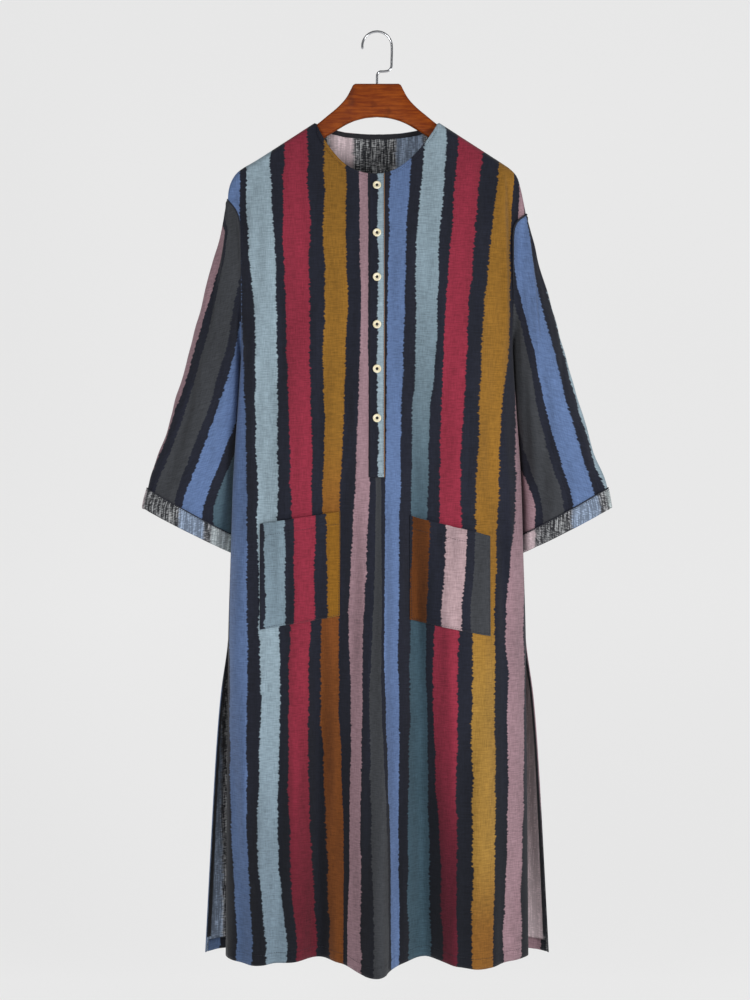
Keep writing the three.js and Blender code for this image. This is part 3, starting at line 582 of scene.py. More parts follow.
# row of the photograph, then the left and right edges of the stripes as columns, to about half a stripe's
# wobble; the stripes run from a blue one in the order of the names, and start again after grey
frontChart = {
    "stripes": range(11),
    "rows": [
        (150, 214, 240, 247, 270, 285, 307, 324, 346, 359, 368, 373,
         381, 391, 412, 425, 446, 459, 483, 501, 516, 519, 536),
        (230, 214, 240, 247, 274, 283, 309, 324, 346, 360, 368, 374,
         381, 389, 406, 417, 440, 451, 475, 492, 511, 520, 535),
        (326, 220, 242, 255, 277, 287, 310, 324, 347, 361, 368, 374,
         381, 387, 404, 416, 437, 445, 468, 483, 511, 525, 545),
        (420, 224, 245, 256, 278, 289, 311, 324, 343, 358, 369, 375,
         381, 386, 401, 413, 430, 441, 462, 479, 501, 516, 536),
        (510, 225, 247, 258, 278, 292, 312, 323, 340, 354, 369, 376,
         381, 385, 400, 411, 427, 439, 460, 477, 498, 515, 535),
        (610, 226, 247, 259, 279, 291, 311, 322, 339, 349, 364, 374,
         382, 384, 398, 411, 426, 435, 459, 474, 495, 506, 525),
        (700, 229, 247, 261, 280, 289, 308, 321, 339, 351, 362, 370,
         382, 385, 399, 410, 427, 433, 458, 472, 495, 508, 526),
        (844, 232, 247, 258, 278, 290, 311, 327, 344, 349, 360, 372,
         388, 390, 398, 408, 429, 440, 456, 473, 495, 507, 522),
        (940, 237, 252, 266, 286, 296, 316, 330, 344, 347, 361, 374,
         389, 391, 399, 408, 430, 443, 457, 472, 493, 503, 521),
    ],
}
pocketCharts = {
    "left": {"stripes": range(19, 22),
             "rows": [(540, 264, 285, 294, 315, 326, 347), (612, 265, 285, 294, 314, 328, 347)]},
    "right": {"stripes": range(15, 18),
              "rows": [(540, 412, 429, 446, 467, 475, 494), (614, 409, 427, 442, 462, 471, 494)]},
}
# the first stripe's number, then height and how far in from the sleeve's outer edge the middles run
sleeveChart = {
    "left": (4, np.array([  # pink, grey, blue, light blue
        (-254, -26, 14, 60, 108), (-284, -20, 17, 64, 110), (-306, 4, 20, 68, 114), (-377, 2, 31, 80, 128),
        (-514, -2, 38, 87, 136), (-621, -8, 35, 85, 133), (-712, -13, 31, 78, 126), (-800, -17, 26, 74, 122),
    ], float)),
    "right": (1, np.array([  # light blue, blue, grey, pink
        (-277, -26, 14, 52, 92), (-300, -22, 16, 55, 95), (-377, -17, 30, 71, 110), (-514, -15, 38, 74, 112),
        (-621, -15, 43, 90, 133), (-712, -15, 41, 92, 127), (-800, -15, 40, 92, 127),
    ], float)),
}
sideStart = 0.965  # share of a row's widest x past which the cloth runs back out of sight


def asSeen(p):
    # the column and row of the photograph at which the camera sees a place
    nearer = photo["distance"] / (photo["distance"] + p[..., 1])
    cameraX, cameraZ = cameraPlace()
    x = (p[..., 0] - cameraX) * nearer + cameraX
    z = (p[..., 2] - cameraZ) * nearer + cameraZ
    return photo["middleX"] + x / photo["mmPerPixel"], photo["hookTopY"] - z / photo["mmPerPixel"]


def evenCount(places, values, across, step=1):
    # straight between the places, and past them one stripe for each unit of cloth
    count = values[0] + step * np.minimum(0, across - places[0])
    for a, b, low, high in zip(places, places[1:], values, values[1:]):
        count = count + (high - low) * np.clip((across - a) / (b - a), 0, 1)
    return count + step * np.maximum(0, across - places[-1])


def fromMiddle(steps):
    # the sum of the steps along each row, counted from the row's middle
    length = np.concatenate([np.zeros((len(steps), 1)), np.cumsum(steps, axis=1)], axis=1)
    return length - length[:, length.shape[1] // 2][:, None]


def rowSteps(p):
    return np.linalg.norm(np.diff(p, axis=1), axis=2)


def pastTheSide(p):
    # the cloth that runs back out of sight past the body's side, in pixels along each row from its middle
    nearSide = np.abs(p[:, 1:, 0]) > sideStart * np.abs(p[..., 0]).max(axis=1, keepdims=True)
    hidden = np.maximum(0, rowSteps(p) - 2 * np.abs(np.diff(p[..., 0], axis=1))) * nearSide
    return fromMiddle(hidden) / photo["mmPerPixel"]


def edgeCount(chart, p, extra=0.0):
    # whole numbers in the middles of the stripes and half their share off at their edges
    column, row = asSeen(p)
    rows = np.array(chart["rows"], float)
    row = np.clip(row, rows[0, 0], rows[-1, 0])
    edges = [columnCurve(rows, k)(row) for k in range(1, rows.shape[1])]
    values = []
    for k in chart["stripes"]:
        half = cotton["share"][stripeNames[k % len(stripeNames)]] / 2
        values += [k - half, k + half]
    perPixel = photo["mmPerPixel"] / unit
    return evenCount([edge * perPixel for edge in edges], values, (column + extra) * perPixel)


def middleCount(chart, across, z, first, step=1):
    # whole numbers in the middles of the stripes
    middles = [columnCurve(chart, k)(z) / unit for k in range(1, chart.shape[1])]
    return evenCount(middles, [first + step * k for k in range(len(middles))], across / unit, step)


def clothMap(count, z):
    # the stripes' count across and metres below the hook down
    return np.stack([count, -z * mm], axis=-1)


def frontMap(p, extra=0.0):
    return clothMap(edgeCount(frontChart, p, extra), p[..., 2])


def backMap(p):
    # even stripes by a mean of the place and the cloth's length, a little wider on the left
    across = 0.5 * p[..., 0] + 0.5 * fromMiddle(rowSteps(p))
    return clothMap(5 + across / np.where(across < 0, unit + 4, unit), p[..., 2])


# Materials

def newMaterial(name):
    material = bpy.data.materials.new(name)
    material.use_nodes = True
    return material, material.node_tree, material.node_tree.nodes["Principled BSDF"]


def plug(tree, node, inputs):
    # links sockets to the node's inputs and sets its plain values
    for key, value in inputs.items():
        if isinstance(value, bpy.types.NodeSocket):
            tree.links.new(value, node.inputs[key])
        else:
            node.inputs[key].default_value = value


def put(tree, kind, inputs, output=0, **settings):
    node = tree.nodes.new("ShaderNode" + kind)
    for key, value in settings.items():
        setattr(node, key, value)
    plug(tree, node, inputs)
    return node.outputs[output]


def calc(tree, operation, a, b=0.0, c=0.0):
    return put(tree, "Math", {0: a, 1: b, 2: c}, operation=operation)


def times(tree, a, b):
    return calc(tree, "MULTIPLY", a, b)


def plus(tree, a, b):
    return calc(tree, "ADD", a, b)


def scaled(tree, colour, light):
    return put(tree, "VectorMath", {0: colour, "Scale": light}, operation="SCALE")


def bumped(tree, height, strength, distance):
    return put(tree, "Bump", {"Strength": strength, "Distance": distance, "Height": height})


def between(tree, value, low, high, start=0.0, end=1.0):
    # from start at low to end at high, easing at both
    inputs = {0: value, 1: low, 2: high, 3: start, 4: end}
    return put(tree, "MapRange", inputs, interpolation_type="SMOOTHSTEP")


def noise(tree, vector, scale=1.0, detail=2.0, rough=0.5):
    return put(tree, "TexNoise", {"Vector": vector, "Scale": scale, "Detail": detail, "Roughness": rough})


def vector(tree, x, y, z=0.0):
    return put(tree, "CombineXYZ", {0: x, 1: y, 2: z})


def tint(tree, factor, a, b):
    return put(tree, "Mix", {0: factor, 6: a, 7: b}, 2, data_type="RGBA")


def steps(tree, value, colours):
    # a ramp that holds each colour over an even share of 0 to 1
    ramp = tree.nodes.new("ShaderNodeValToRGB")
    ramp.color_ramp.interpolation = "CONSTANT"
    for k, colour in enumerate(colours):
        place = k / len(colours)
        element = ramp.color_ramp.elements[k] if k < 2 else ramp.color_ramp.elements.new(place)
        element.position = place
        element.color = colour if hasattr(colour, "__len__") else (colour, colour, colour, 1)
    tree.links.new(value, ramp.inputs[0])
    return ramp.outputs[0]


def stripeMasks(tree):
    # the cloth's places, which stripe is nearest and where it covers the ground
    place = put(tree, "UVMap", {}, uv_map="cloth")
    apart = tree.nodes.new("ShaderNodeSeparateXYZ")
    tree.links.new(place, apart.inputs[0])
    count, down = apart.outputs[0], apart.outputs[1]
    number = calc(tree, "FLOOR", plus(tree, count, 0.5))
    off = calc(tree, "SUBTRACT", count, number)
    side = times(tree, calc(tree, "SIGN", off), lanes["side"])
    edgeLane = calc(tree, "MULTIPLY_ADD", number, lanes["edge"], side)
    middleLane = times(tree, number, lanes["middle"])

    def wander(base, lane, name, detail, rough):
        # the base moved both ways by a noise down the lane
        wave = noise(tree, vector(tree, lane, times(tree, down, cotton[name + "PerMetre"])), 1, detail, rough)
        return calc(tree, "MULTIPLY_ADD", calc(tree, "SUBTRACT", wave, 0.5), 2 * cotton[name], base)

    reach = calc(tree, "ABSOLUTE", wander(off, middleLane, "slow", 1, 0.5))
    reach = wander(reach, edgeLane, "drift", 2, 0.6)
    reach = wander(reach, edgeLane, "teeth", 2, 0.7)
    # the middle of the ramp's step for this stripe
    kinds = float(len(stripeNames))
    kind = calc(tree, "DIVIDE", calc(tree, "FLOORED_MODULO", plus(tree, number, 0.5), kinds), kinds)
    half = steps(tree, kind, [cotton["share"][name] / 2 for name in stripeNames])
    return count, down, kind, calc(tree, "SUBTRACT", half, reach)


def threadNoise(tree, across, down, perMetre, detail=2, rough=0.6):
    # a noise with its own counts per metre across and down the cloth
    place = vector(tree, times(tree, across, perMetre[0]), times(tree, down, perMetre[1]))
    return noise(tree, place, 1, detail, rough)


def finishCotton(tree, shader, looks, colour, height):
    # rough, with a slight sheen, and threads that stand up
    plug(tree, shader, {"Base Color": colour, "Normal": bumped(tree, height, looks["bump"], threadHeight),
                        "Roughness": looks["roughness"], "Sheen Weight": looks["sheen"],
                        "Specular IOR Level": clothGloss})


def stripedCotton():
    material, tree, shader = newMaterial("stripedCotton")
    count, down, kind, inside = stripeMasks(tree)
    across = times(tree, count, unit * mm)
    weft = threadNoise(tree, across, down, cotton["weft"])  # threads across and down, uneven in thickness
    warp = threadNoise(tree, across, down, cotton["warp"])
    cloud = threadNoise(tree, across, down, cotton["cloud"], 3, 0.5)
    ground = tint(tree, cloud, cotton["groundTwin"], cotton["ground"])
    # painted shade: the navy ground darkens towards the hem, for the shade of the lower folds
    low = between(tree, down, cotton["shadeFrom"], cotton["shadeTo"], 0.0, cotton["shadeMost"])
    ground = tint(tree, low, ground, cotton["groundShadeLow"])
    stripe = steps(tree, kind, [cotton[name] for name in stripeNames])
    # painted shade and painted highlight of the broad folds, partly dye, tinted into the stripes down their
    # length
    for number, colour, start, end in foldShadeAndDye:
        there = calc(tree, "COMPARE", count, number, 0.5)
        stripe = tint(tree, times(tree, there, between(tree, down, start, end)), stripe, colour)
    # brushed darker and lighter in long soft patches that differ from stripe to stripe
    lane = times(tree, calc(tree, "FLOOR", plus(tree, count, 0.5)), lanes["patch"])
    patchAcross = calc(tree, "MULTIPLY_ADD", across, cotton["patch"][0], lane)
    patch = noise(tree, vector(tree, patchAcross, times(tree, down, cotton["patch"][1])), 1, 3)
    colour = tint(tree, between(tree, inside, -cotton["soft"], cotton["soft"]), ground, stripe)
    light = 1.0
    for wave, name in ((weft, "weftLight"), (warp, "warpLight"), (patch, "patchLight")):
        light = plus(tree, between(tree, wave, 0.3, 0.7, -cotton[name], cotton[name]), light)
    height = plus(tree, times(tree, weft, cotton["weftShare"]), times(tree, warp, 1 - cotton["weftShare"]))
    finishCotton(tree, shader, cotton, scaled(tree, colour, light), height)
    return material


def cottonWrongSide():
    material, tree, shader = newMaterial("cottonWrongSide")
    count, down, kind, inside = stripeMasks(tree)
    across = times(tree, count, unit * mm)
    cover = between(tree, inside, -wrongSide["soft"], 0.0)
    stripe = steps(tree, kind, [wrongSide[name] for name in stripeNames])
    base = tint(tree, cover, wrongSide["ground"], stripe)
    # dark threads run down in streaks and across in short dashes, thick on the ground and thin on the pale
    # stripes
    dashes = threadNoise(tree, across, down, wrongSide["dashes"])
    streaks = threadNoise(tree, across, down, wrongSide["streaks"], 2, 0.5)
    mixed = plus(tree, times(tree, dashes, 0.5), times(tree, streaks, 0.5))
    isGrey = calc(tree, "GREATER_THAN", kind, 0.8)
    isBlue = calc(tree, "LESS_THAN", kind, 0.34)  # both blues keep more of the dashes
    pale = times(tree, cover, calc(tree, "SUBTRACT", 1.0, isGrey))
    bands = threadNoise(tree, across, down, wrongSide["bands"], 2, 0.5)
    level = calc(tree, "MULTIPLY_ADD", calc(tree, "SUBTRACT", bands, 0.5), wrongSide["bandDepth"],
                 wrongSide["level"])
    dark = between(tree, calc(tree, "SUBTRACT", mixed, level), -0.1, 0.08)
    sparing = calc(tree, "MULTIPLY_ADD", isBlue, wrongSide["blueSpared"], wrongSide["spared"])
    amount = times(tree, dark, calc(tree, "SUBTRACT", wrongSide["mostDark"], times(tree, pale, sparing)))
    finishCotton(tree, shader, wrongSide, tint(tree, amount, base, wrongSide["dash"]), mixed)
    return material


def plainMaterial(name, colour, roughness, metallic=0.0, bumpScale=0, bumpHeight=0.0, variation=0.06):
    # one colour with a slight cloudiness and a fine uneven surface, read from the object's own places
    material, tree, shader = newMaterial(name)
    place = put(tree, "TexCoord", {}, 3)
    light = between(tree, noise(tree, place, 70, 3), 0.3, 0.7, 1 - variation, 1 + variation)
    plug(tree, shader, {"Base Color": scaled(tree, colour[:3], light), "Roughness": roughness,
                        "Metallic": metallic})
    if bumpScale:
        plug(tree, shader, {"Normal": bumped(tree, noise(tree, place, bumpScale, 2), 0.4, bumpHeight)})
    return material


wood = {
    "light": linear(146, 70, 16), "dark": linear(110, 42, 7), "deep": linear(76, 26, 5),
    "grainStretch": (9, 60, 90), "poreStretch": (40, 300, 700), "poreHeight": 0.0003,
}


def hangerWood():
    # long grain along the arms with darker pores and a few soft clouds, under satin lacquer
    material, tree, shader = newMaterial("hangerWood")
    place = put(tree, "TexCoord", {}, 3)
    grain = noise(tree, put(tree, "Mapping", {"Vector": place, "Scale": wood["grainStretch"]}), 3.2, 5, 0.65)
    pores = noise(tree, put(tree, "Mapping", {"Vector": place, "Scale": wood["poreStretch"]}), 1.6, 3, 0.7)
    clouds = noise(tree, place, 38, 3)
    colour = tint(tree, between(tree, grain, 0.32, 0.68), wood["dark"], wood["light"])
    colour = tint(tree, between(tree, clouds, 0.52, 0.72, 0.0, 0.55), colour, wood["deep"])
    colour = tint(tree, between(tree, pores, 0.6, 0.72, 0.0, 0.5), colour, wood["deep"])
    plug(tree, shader, {"Base Color": colour, "Normal": bumped(tree, pores, 0.25, wood["poreHeight"]),
                        "Roughness": 0.5, "Specular IOR Level": 0.15, "Coat Weight": 0.05,
                        "Coat Roughness": 0.25})
    return material


def buttonMaterial():
    # cream, with a faint cloudiness
    material, tree, shader = newMaterial("button")
    clouds = noise(tree, put(tree, "TexCoord", {}, 3), 160, 2)
    colour = tint(tree, between(tree, clouds, 0.35, 0.65), linear(226, 214, 176), linear(240, 232, 204))
    plug(tree, shader, {"Base Color": colour, "Roughness": 0.32, "Subsurface Weight": 0.08,
                        "Subsurface Radius": (0.003, 0.002, 0.001)})
    return material


def paperWall():
    # backlit paper, clear from behind for a look at the robe's back
    material = plainMaterial("wallPaint", (studio["wallGrey"],) * 3 + (1,), 0.9, variation=0.002)
    tree = material.node_tree
    shader = tree.nodes["Principled BSDF"]
    plug(tree, shader, {"Emission Color": (1, 1, 1, 1), "Emission Strength": studio["wallGlow"]})
    behind = put(tree, "NewGeometry", {}, "Backfacing")
    clear = put(tree, "BsdfTransparent", {})
    seen = put(tree, "MixShader", {0: behind, 1: shader.outputs[0], 2: clear})
    plug(tree, tree.nodes["Material Output"], {"Surface": seen})
    return material


striped = stripedCotton()
pale = cottonWrongSide()
tapeCloth = plainMaterial("neckTape", linear(22, 23, 30), 0.85, bumpScale=2400, bumpHeight=0.0004)
thread = plainMaterial("thread", linear(32, 34, 44), 0.8, bumpScale=4000, bumpHeight=0.0002)
buttonThread = plainMaterial("buttonThread", linear(34, 30, 28), 0.8, bumpScale=4000, bumpHeight=0.0002)
cream = buttonMaterial()
stained = hangerWood()
steel = plainMaterial("steelWire", linear(196, 198, 202), 0.2, 1.0, 900, 0.00005, 0.03)
wallPaint = paperWall()
print("materials made")


# Pieces of cloth

panels = {
    "front": {"half": 82, "top": 46, "middle": 64, "low": 142, "cut": (0.63, 1.29), "area": 0.645},
    "back": {"half": 76, "top": 46, "middle": 50, "low": 128, "cut": (0.59, 1.29), "area": 0.63},
    "commonTopZ": -330, "slotColumns": 9, "evened": 0.55, "crowded": 1.7, "thickness": 1.2,
}


def panelGrid(face):
    # columns between even steps of x and of the turn, rows close together over the ridge, then even, then
    # settling on the hem's own line
    size = panels[face]
    t = np.linspace(0, 1, size["half"])
    slot = turnOf(robe["placketHalf"])
    right = slot + (1 - slot) * mix(t, np.arcsin(t) / (pi / 2), panels["evened"])
    inner = np.linspace(-slot, slot, panels["slotColumns"])
    u = np.concatenate([-right[::-1], inner[1:-1], right])[None, :]
    top = topEdge(face, u)
    rows = [mix(top, panels["commonTopZ"], s ** panels["crowded"])
            for s in np.linspace(0, 1, size["top"], endpoint=False)]
    bottom = robe["placketBottomZ"]
    rows += [z + 0 * u for z in np.linspace(panels["commonTopZ"], bottom, size["middle"], endpoint=False)]
    for z in np.linspace(bottom, robe["hemZ"], size["low"]):
        settle = smooth((z - robe["hemSettleZ"]) / (robe["hemZ"] - robe["hemSettleZ"]))
        rows.append(z + settle * (hemHeight(face, u) - robe["hemZ"]))
    z = np.vstack(rows)
    p = bodyPoint(face, u + 0 * z, z, reliefOf[face])
    slotRows = size["top"] + size["middle"]
    keep = np.ones((len(z) - 1, u.shape[1] - 1), bool)
    if face == "front":
        keep[:slotRows, size["half"] - 1: size["half"] + len(inner) - 2] = False
    return p, keep


def makePanels():
    made = {}
    for face in ("front", "back"):
        p, keep = panelGrid(face)
        uv = frontMap(p, pastTheSide(p)) if face == "front" else backMap(p)
        clothPiece(f"{face}Cloth", p, uv, panels["thickness"], f"{face}_panel", panels[face]["cut"], "hung",
                   ["hanger_body"], panels[face]["area"], keep=keep, flip=face == "back")
        made[face] = (p, uv)
    print("panels made")
    return made


sleeve = {
    "rows": 132, "around": 128, "thickness": 1.2, "clearance": 3, "awayBy": 0.9, "tuckIn": 3.2,
    "tuckBack": 14,
    "armholePoint": 1.5, "point": 0.92, "roundedBy": 0.35, "cuffStart": 0.93,
    "length": 480, "seamRise": 1.6, "seamAt": 5, "seamWide": 4, "cut": (0.36, 0.49), "area": 0.11,
}
# share of the length, outer edge's x and z, inner edge's z, half depth
sleeveLevels = np.array([
    (0, 227.5, -254, -484, 26), (0.15, 245, -330, -535, 34), (0.35, 270, -425, -606, 37),
    (0.6, 302, -545, -688, 34), (0.8, 331, -637, -742, 30), (0.93, 350, -695, -766, 27),
    (1, 357, -724, -792, 26),
])
outerX, outerZ, innerZ, sleeveDepth = (columnCurve(sleeveLevels, k) for k in (1, 2, 3, 4))
# x and z of both ends, half width, height and right share, on the front of each sleeve
sleeveCreases = {
    "left": [
        (238, -330, 262, -470, 7, -3.0, 1.0), (226, -300, 240, -400, 6, 3.0, 1.0),
        (250, -470, 292, -650, 9, 3.6, 0.8), (232, -500, 262, -690, 8, -3.4, 1.0),
        (284, -560, 318, -690, 10, -3.0, 1.0), (222, -420, 232, -560, 6, 2.4, 1.0),
        (270, -610, 300, -720, 6, 2.2, 1.0), (240, -640, 262, -740, 6, 2.2, 1.0),
    ],
    "right": [
        (227, -285, 246, -500, 5, 5.0, 0.6), (212, -300, 226, -480, 7, -3.4, 1.0),
        (246, -500, 276, -690, 9, -3.4, 1.0), (262, -470, 304, -660, 10, 3.0, 1.0),
        (230, -520, 246, -700, 8, 3.6, 0.8), (292, -600, 322, -700, 8, -2.6, 1.0),
        (250, -330, 262, -430, 7, -2.4, 1.0), (262, -640, 284, -730, 6, 2.2, 1.0),
    ],
}


def sleeveEdge(side, s):
    # the outer edge, drawn to the shoulder's end of its own side
    fade = (1 - s) ** 3
    top = shoulderEnd[side][-1]
    _, levelX, levelZ = sleeveLevels[0, :3]
    return outerX(s) + (top[0] - levelX) * fade, outerZ(s) + (top[1] - levelZ) * fade


def sleevePoint(side, s, angle):
    # across: from the inner edge at the body's side to the outer edge; out: a power of the angle's sine
    share = (1 + np.cos(angle)) / 2
    top = shoulderEnd[side][-1]
    fade = (1 - s) ** 3
    x1, z1 = sleeveEdge(side, s)
    z0 = innerZ(s)
    seamZ = mix(robe["armpitZ"], top[1], share)
    fromTop = dropFade(top[1] - seamZ, robe["shoulderFade"][side])
    seamX = halfWidth["front"](seamZ) + (top[0] - robe["chestHalf"]) * fromTop
    bend = seamX - mix(halfWidth["front"](robe["armpitZ"]), top[0], share)
    tucked = smooth(s / 0.1) * (1 - share) ** 1.5  # the inner edge goes behind the body's widest line
    away = mix(robe["seamGap"], sleeve["clearance"], smooth(s / sleeve["awayBy"])) - sleeve["tuckIn"] * tucked
    x = mix(halfWidth["front"](z0), x1, share) + bend * fade + away * mix(1, fade, share)
    z = mix(z0, z1, share) - robe["seamGap"] * share * fade
    power = mix(sleeve["armholePoint"], sleeve["point"], smooth(s / sleeve["roundedBy"]))
    y = -sleeveDepth(s) * np.sign(np.sin(angle)) * np.abs(np.sin(angle)) ** power
    y = y + sleeve["tuckBack"] * tucked
    return np.stack([-x if side == "left" else x, y, z], axis=-1), share


def sleeveGrid(side, shares, around):
    # rings round the sleeve from the inner edge over the front, with their places on the cloth
    angle = (pi - np.linspace(0, 2 * pi, around + 1))[None, :]
    s = shares[:, None]
    p, share = sleevePoint(side, s, angle)
    x, z = np.abs(p[..., 0]), p[..., 2]
    fine = np.linspace(-0.2, 1.1, 400)
    edgeX, edgeZ = sleeveEdge(side, np.clip(fine, 0, 1))
    edgeAt = np.interp(-z, -edgeZ, edgeX)
    inwards = edgeAt - x
    front = np.sin(angle) >= 0
    first, chart = sleeveChart[side]
    step = 1 if side == "left" else -1
    atFront = middleCount(chart, np.maximum(inwards, 0), z, first, step)
    behind = middleCount(chart, 0 * z, z, first, step) - step * (inwards + np.abs(p[..., 1])) / unit
    count = np.where(front, atFront, behind)
    return p, clothMap(count, z + 0.3 * (x - 227)), share, angle


def sleeveOut(side, p, share, s, angle):
    # creases push out along the surface and die at the armhole and near the body
    x, z = np.abs(p[..., 0]), p[..., 2]
    front = smooth(np.sin(angle) / 0.3)
    back = smooth(-np.sin(angle) / 0.3)
    other = "right" if side == "left" else "left"
    seed = 11 if side == "left" else 12
    relief = creaseRelief(sleeveCreases[side], x, z) * front + creaseRelief(sleeveCreases[other], x, z) * back
    relief = relief + rippleRelief(x, z, seed)
    margin = smooth(s / 0.05) * smooth(share / 0.12) * (0.25 + 0.75 * smooth((1 - s) / 0.12))
    return relief * margin


def sleeveNormals(side, p):
    n = gridNormals(p[:, :-1], closed=True)
    n = np.concatenate([n, n[:, :1]], axis=1)
    return n if side == "right" else -n


def sleeveSurface(side, shares, around, lift):
    # the sleeve with its creases, moved out by the lift
    p, uv, share, angle = sleeveGrid(side, shares, around)
    out = sleeveOut(side, p, share, np.minimum(shares, 1)[:, None], angle) + lift
    return p + sleeveNormals(side, p) * out[..., None], uv


def makeSleeves():
    shares = np.linspace(0, 1, sleeve["rows"]) ** 1.1
    fromSeam = shares[:, None] * sleeve["length"]
    rise = sleeve["seamRise"] * np.exp(-((fromSeam - sleeve["seamAt"]) / sleeve["seamWide"]) ** 2)
    for side in ("left", "right"):
        p, uv = sleeveSurface(side, shares, sleeve["around"], rise)
        clothPiece(f"sleeveCloth_{side}", p[:, :-1], uv, sleeve["thickness"], f"sleeve_{side}", sleeve["cut"],
                   "hung", area=sleeve["area"], closed=True, flip=side == "left")
    print("sleeves made")


cuff = {
    "rows": 26, "around": 190, "lift": 1.9, "middleRise": 0.5, "edgeFall": 1.0, "edgeWide": 0.9,
    "thickness": 1.1, "cut": (0.31, 0.036),
    # the foot's last rings: share of the length past the sleeve's end, and how far in they roll
    "past": (0.00175, 0.00315, 0.0035, 0.00315), "rollIn": (0.3, 0.9, 1.6, 2.3),
}


def makeCuffs():
    # the sleeve's own surface, moved out, with a rounded upper edge and a foot that rolls in under the sleeve
    start = sleeve["cuffStart"]
    shares = np.concatenate([np.linspace(start, 1.0, cuff["rows"]), 1 + np.array(cuff["past"])])[:, None]
    t = np.clip((shares - start) / (1 - start), 0, 1)
    fromEdge = (shares - start) * sleeve["length"]
    lift = (cuff["lift"] + cuff["middleRise"] * np.sin(t * pi)
            - cuff["edgeFall"] * np.exp(-fromEdge / cuff["edgeWide"]))
    lift[-len(cuff["rollIn"]):, 0] -= cuff["rollIn"]
    for side in ("left", "right"):
        p, uv = sleeveSurface(side, shares[:, 0], cuff["around"], lift)
        clothPiece(f"cuffCloth_{side}", p[:, :-1], uv, cuff["thickness"], f"cuff_{side}", cuff["cut"],
                   "folded", [f"sleeve_{side}"], materials=[pale, striped], slotName="cotton_wrong_side",
                   closed=True, flip=side == "left")
    print("cuffs made")


pockets = {
    "left": {"outerX": -175, "innerX": -55, "topOuterZ": -748, "topInnerZ": -729,
             "bottomOuterZ": -906, "bottomInnerZ": -885},
    "right": {"outerX": 168, "innerX": 48, "topOuterZ": -766, "topInnerZ": -735,
              "bottomOuterZ": -915, "bottomInnerZ": -891},
    "columns": 90, "rows": 110, "lift": 2.2, "edgeLift": 1.5, "round": 2.2, "hem": 20, "thickness": 0.8,
    "cutFrom": 400,  # how much further up the cloth the pockets were cut
    "cut": (0.12, 0.177), "area": 0.0196,
}


def onPocket(side, a, t, stand=0.0):
    # a runs from the left edge to the right and t from the mouth to the foot, between the corners; the lift
    # is less at the sewn edges, more over the hem at the mouth, and the mouth stands open a little
    size = pockets[side]
    share = a if side == "left" else 1 - a
    top = mix(size["topOuterZ"], size["topInnerZ"], share)
    bottom = mix(size["bottomOuterZ"], size["bottomInnerZ"], share)
    z = mix(top, bottom, t)
    x = mix(size["outerX"], size["innerX"], share) + 0 * z
    fromTop, fromBottom = top - z, z - bottom
    fromSide = np.minimum(a, 1 - a) * abs(size["innerX"] - size["outerX"]) + 0 * z
    edge = np.minimum(fromSide, fromBottom)
    lift = pockets["edgeLift"] + (pockets["lift"] - pockets["edgeLift"]) * smooth(edge / pockets["round"])
    lift = lift + 0.5 * np.exp(-((edge - 2.2) / 1.6) ** 2)
    lift = lift + 0.9 * smooth((pockets["hem"] - fromTop) / 3) * smooth(edge / 5)
    lift = lift + 2.6 * np.exp(-(fromTop / 14) ** 2) * smooth(fromSide / 30)
    lift = lift + 1.4 * np.exp(-((fromSide - 34) / 18) ** 2) * smooth(fromTop / 30) * smooth(fromBottom / 30)
    return onFront(x, z, lift + stand)


def makePockets():
    a = np.linspace(0, 1, pockets["columns"])[None, :]
    t = np.linspace(0, 1, pockets["rows"])[:, None]
    for side in ("left", "right"):
        p, _ = onPocket(side, a, t)
        uv = clothMap(edgeCount(pocketCharts[side], p), p[..., 2] + pockets["cutFrom"])
        clothPiece(f"pocketCloth_{side}", p, uv, pockets["thickness"], f"pocket_{side}", pockets["cut"],
                   "hung", ["front_panel"], pockets["area"])
    print("pockets made")


placket = {
    "columns": 34, "rows": 230, "lift": 0.7, "thickness": 0.8, "clear": 0.4, "cut": (0.024, 0.46),
    "fromCount": 0.40, "toCount": 0.87, "turned": 0.05, "turnedCount": 3.0, "cutFrom": 311,
    "underColumns": 12, "underRows": 120, "underWidth": 1.3, "underTop": 2.5, "underTail": 8,
    "underCount": 0.5, "underCut": (0.032, 0.47),
}


def placketStrip(halfWide, top, bottom, lift, rows, columns):
    x = np.linspace(-halfWide, halfWide, columns)[None, :]
    z = np.linspace(top, bottom, rows)[:, None]
    p, _ = onFront(x + 0 * z, z + 0 * x, lift(x + 0 * z, z + 0 * x))
    return p


def upperLift(x, z):
    # rounded down at both long edges, thicker just inside them, with a slight wave along it
    edge = robe["placketHalf"] - placket["clear"] - np.abs(x)
    return (placket["lift"] - 0.9 * np.exp(-edge / 0.7) + 0.5 * np.exp(-((edge - 1.6) / 1.2) ** 2)
            + 0.25 * np.sin(z / 17))


def placketTop():
    return float(topEdge("front", np.array([0.0]))[0])


def makePlacket():
    top = placketTop()
    half = robe["placketHalf"] - placket["clear"]
    bottom = robe["placketBottomZ"] + placket["clear"]
    p = placketStrip(half, top, bottom, upperLift, placket["rows"], placket["columns"])
    a = (p[..., 0] + half) / (2 * half)
    count = mix(placket["fromCount"], placket["toCount"], a)
    # the right edge is turned in from the next stripe
    count = np.where(a > 1 - placket["turned"], placket["turnedCount"], count)
    clothPiece("placketCloth", p, clothMap(count, p[..., 2] + placket["cutFrom"]), placket["thickness"],
               "placket_upper", placket["cut"], "folded", ["front_panel"])

    p = placketStrip(robe["placketHalf"] * placket["underWidth"], top - placket["underTop"],
                     robe["placketBottomZ"] - placket["underTail"],
                     lambda x, z: 0 * x - robe["cloth"] - robe["seamGap"],
                     placket["underRows"], placket["underColumns"])
    uv = clothMap(placket["underCount"] + 0 * p[..., 0], p[..., 2])
    clothPiece("placketUnderCloth", p, uv, placket["thickness"], "placket_under", placket["underCut"],
               "folded", ["front_panel"])
    print("placket made")


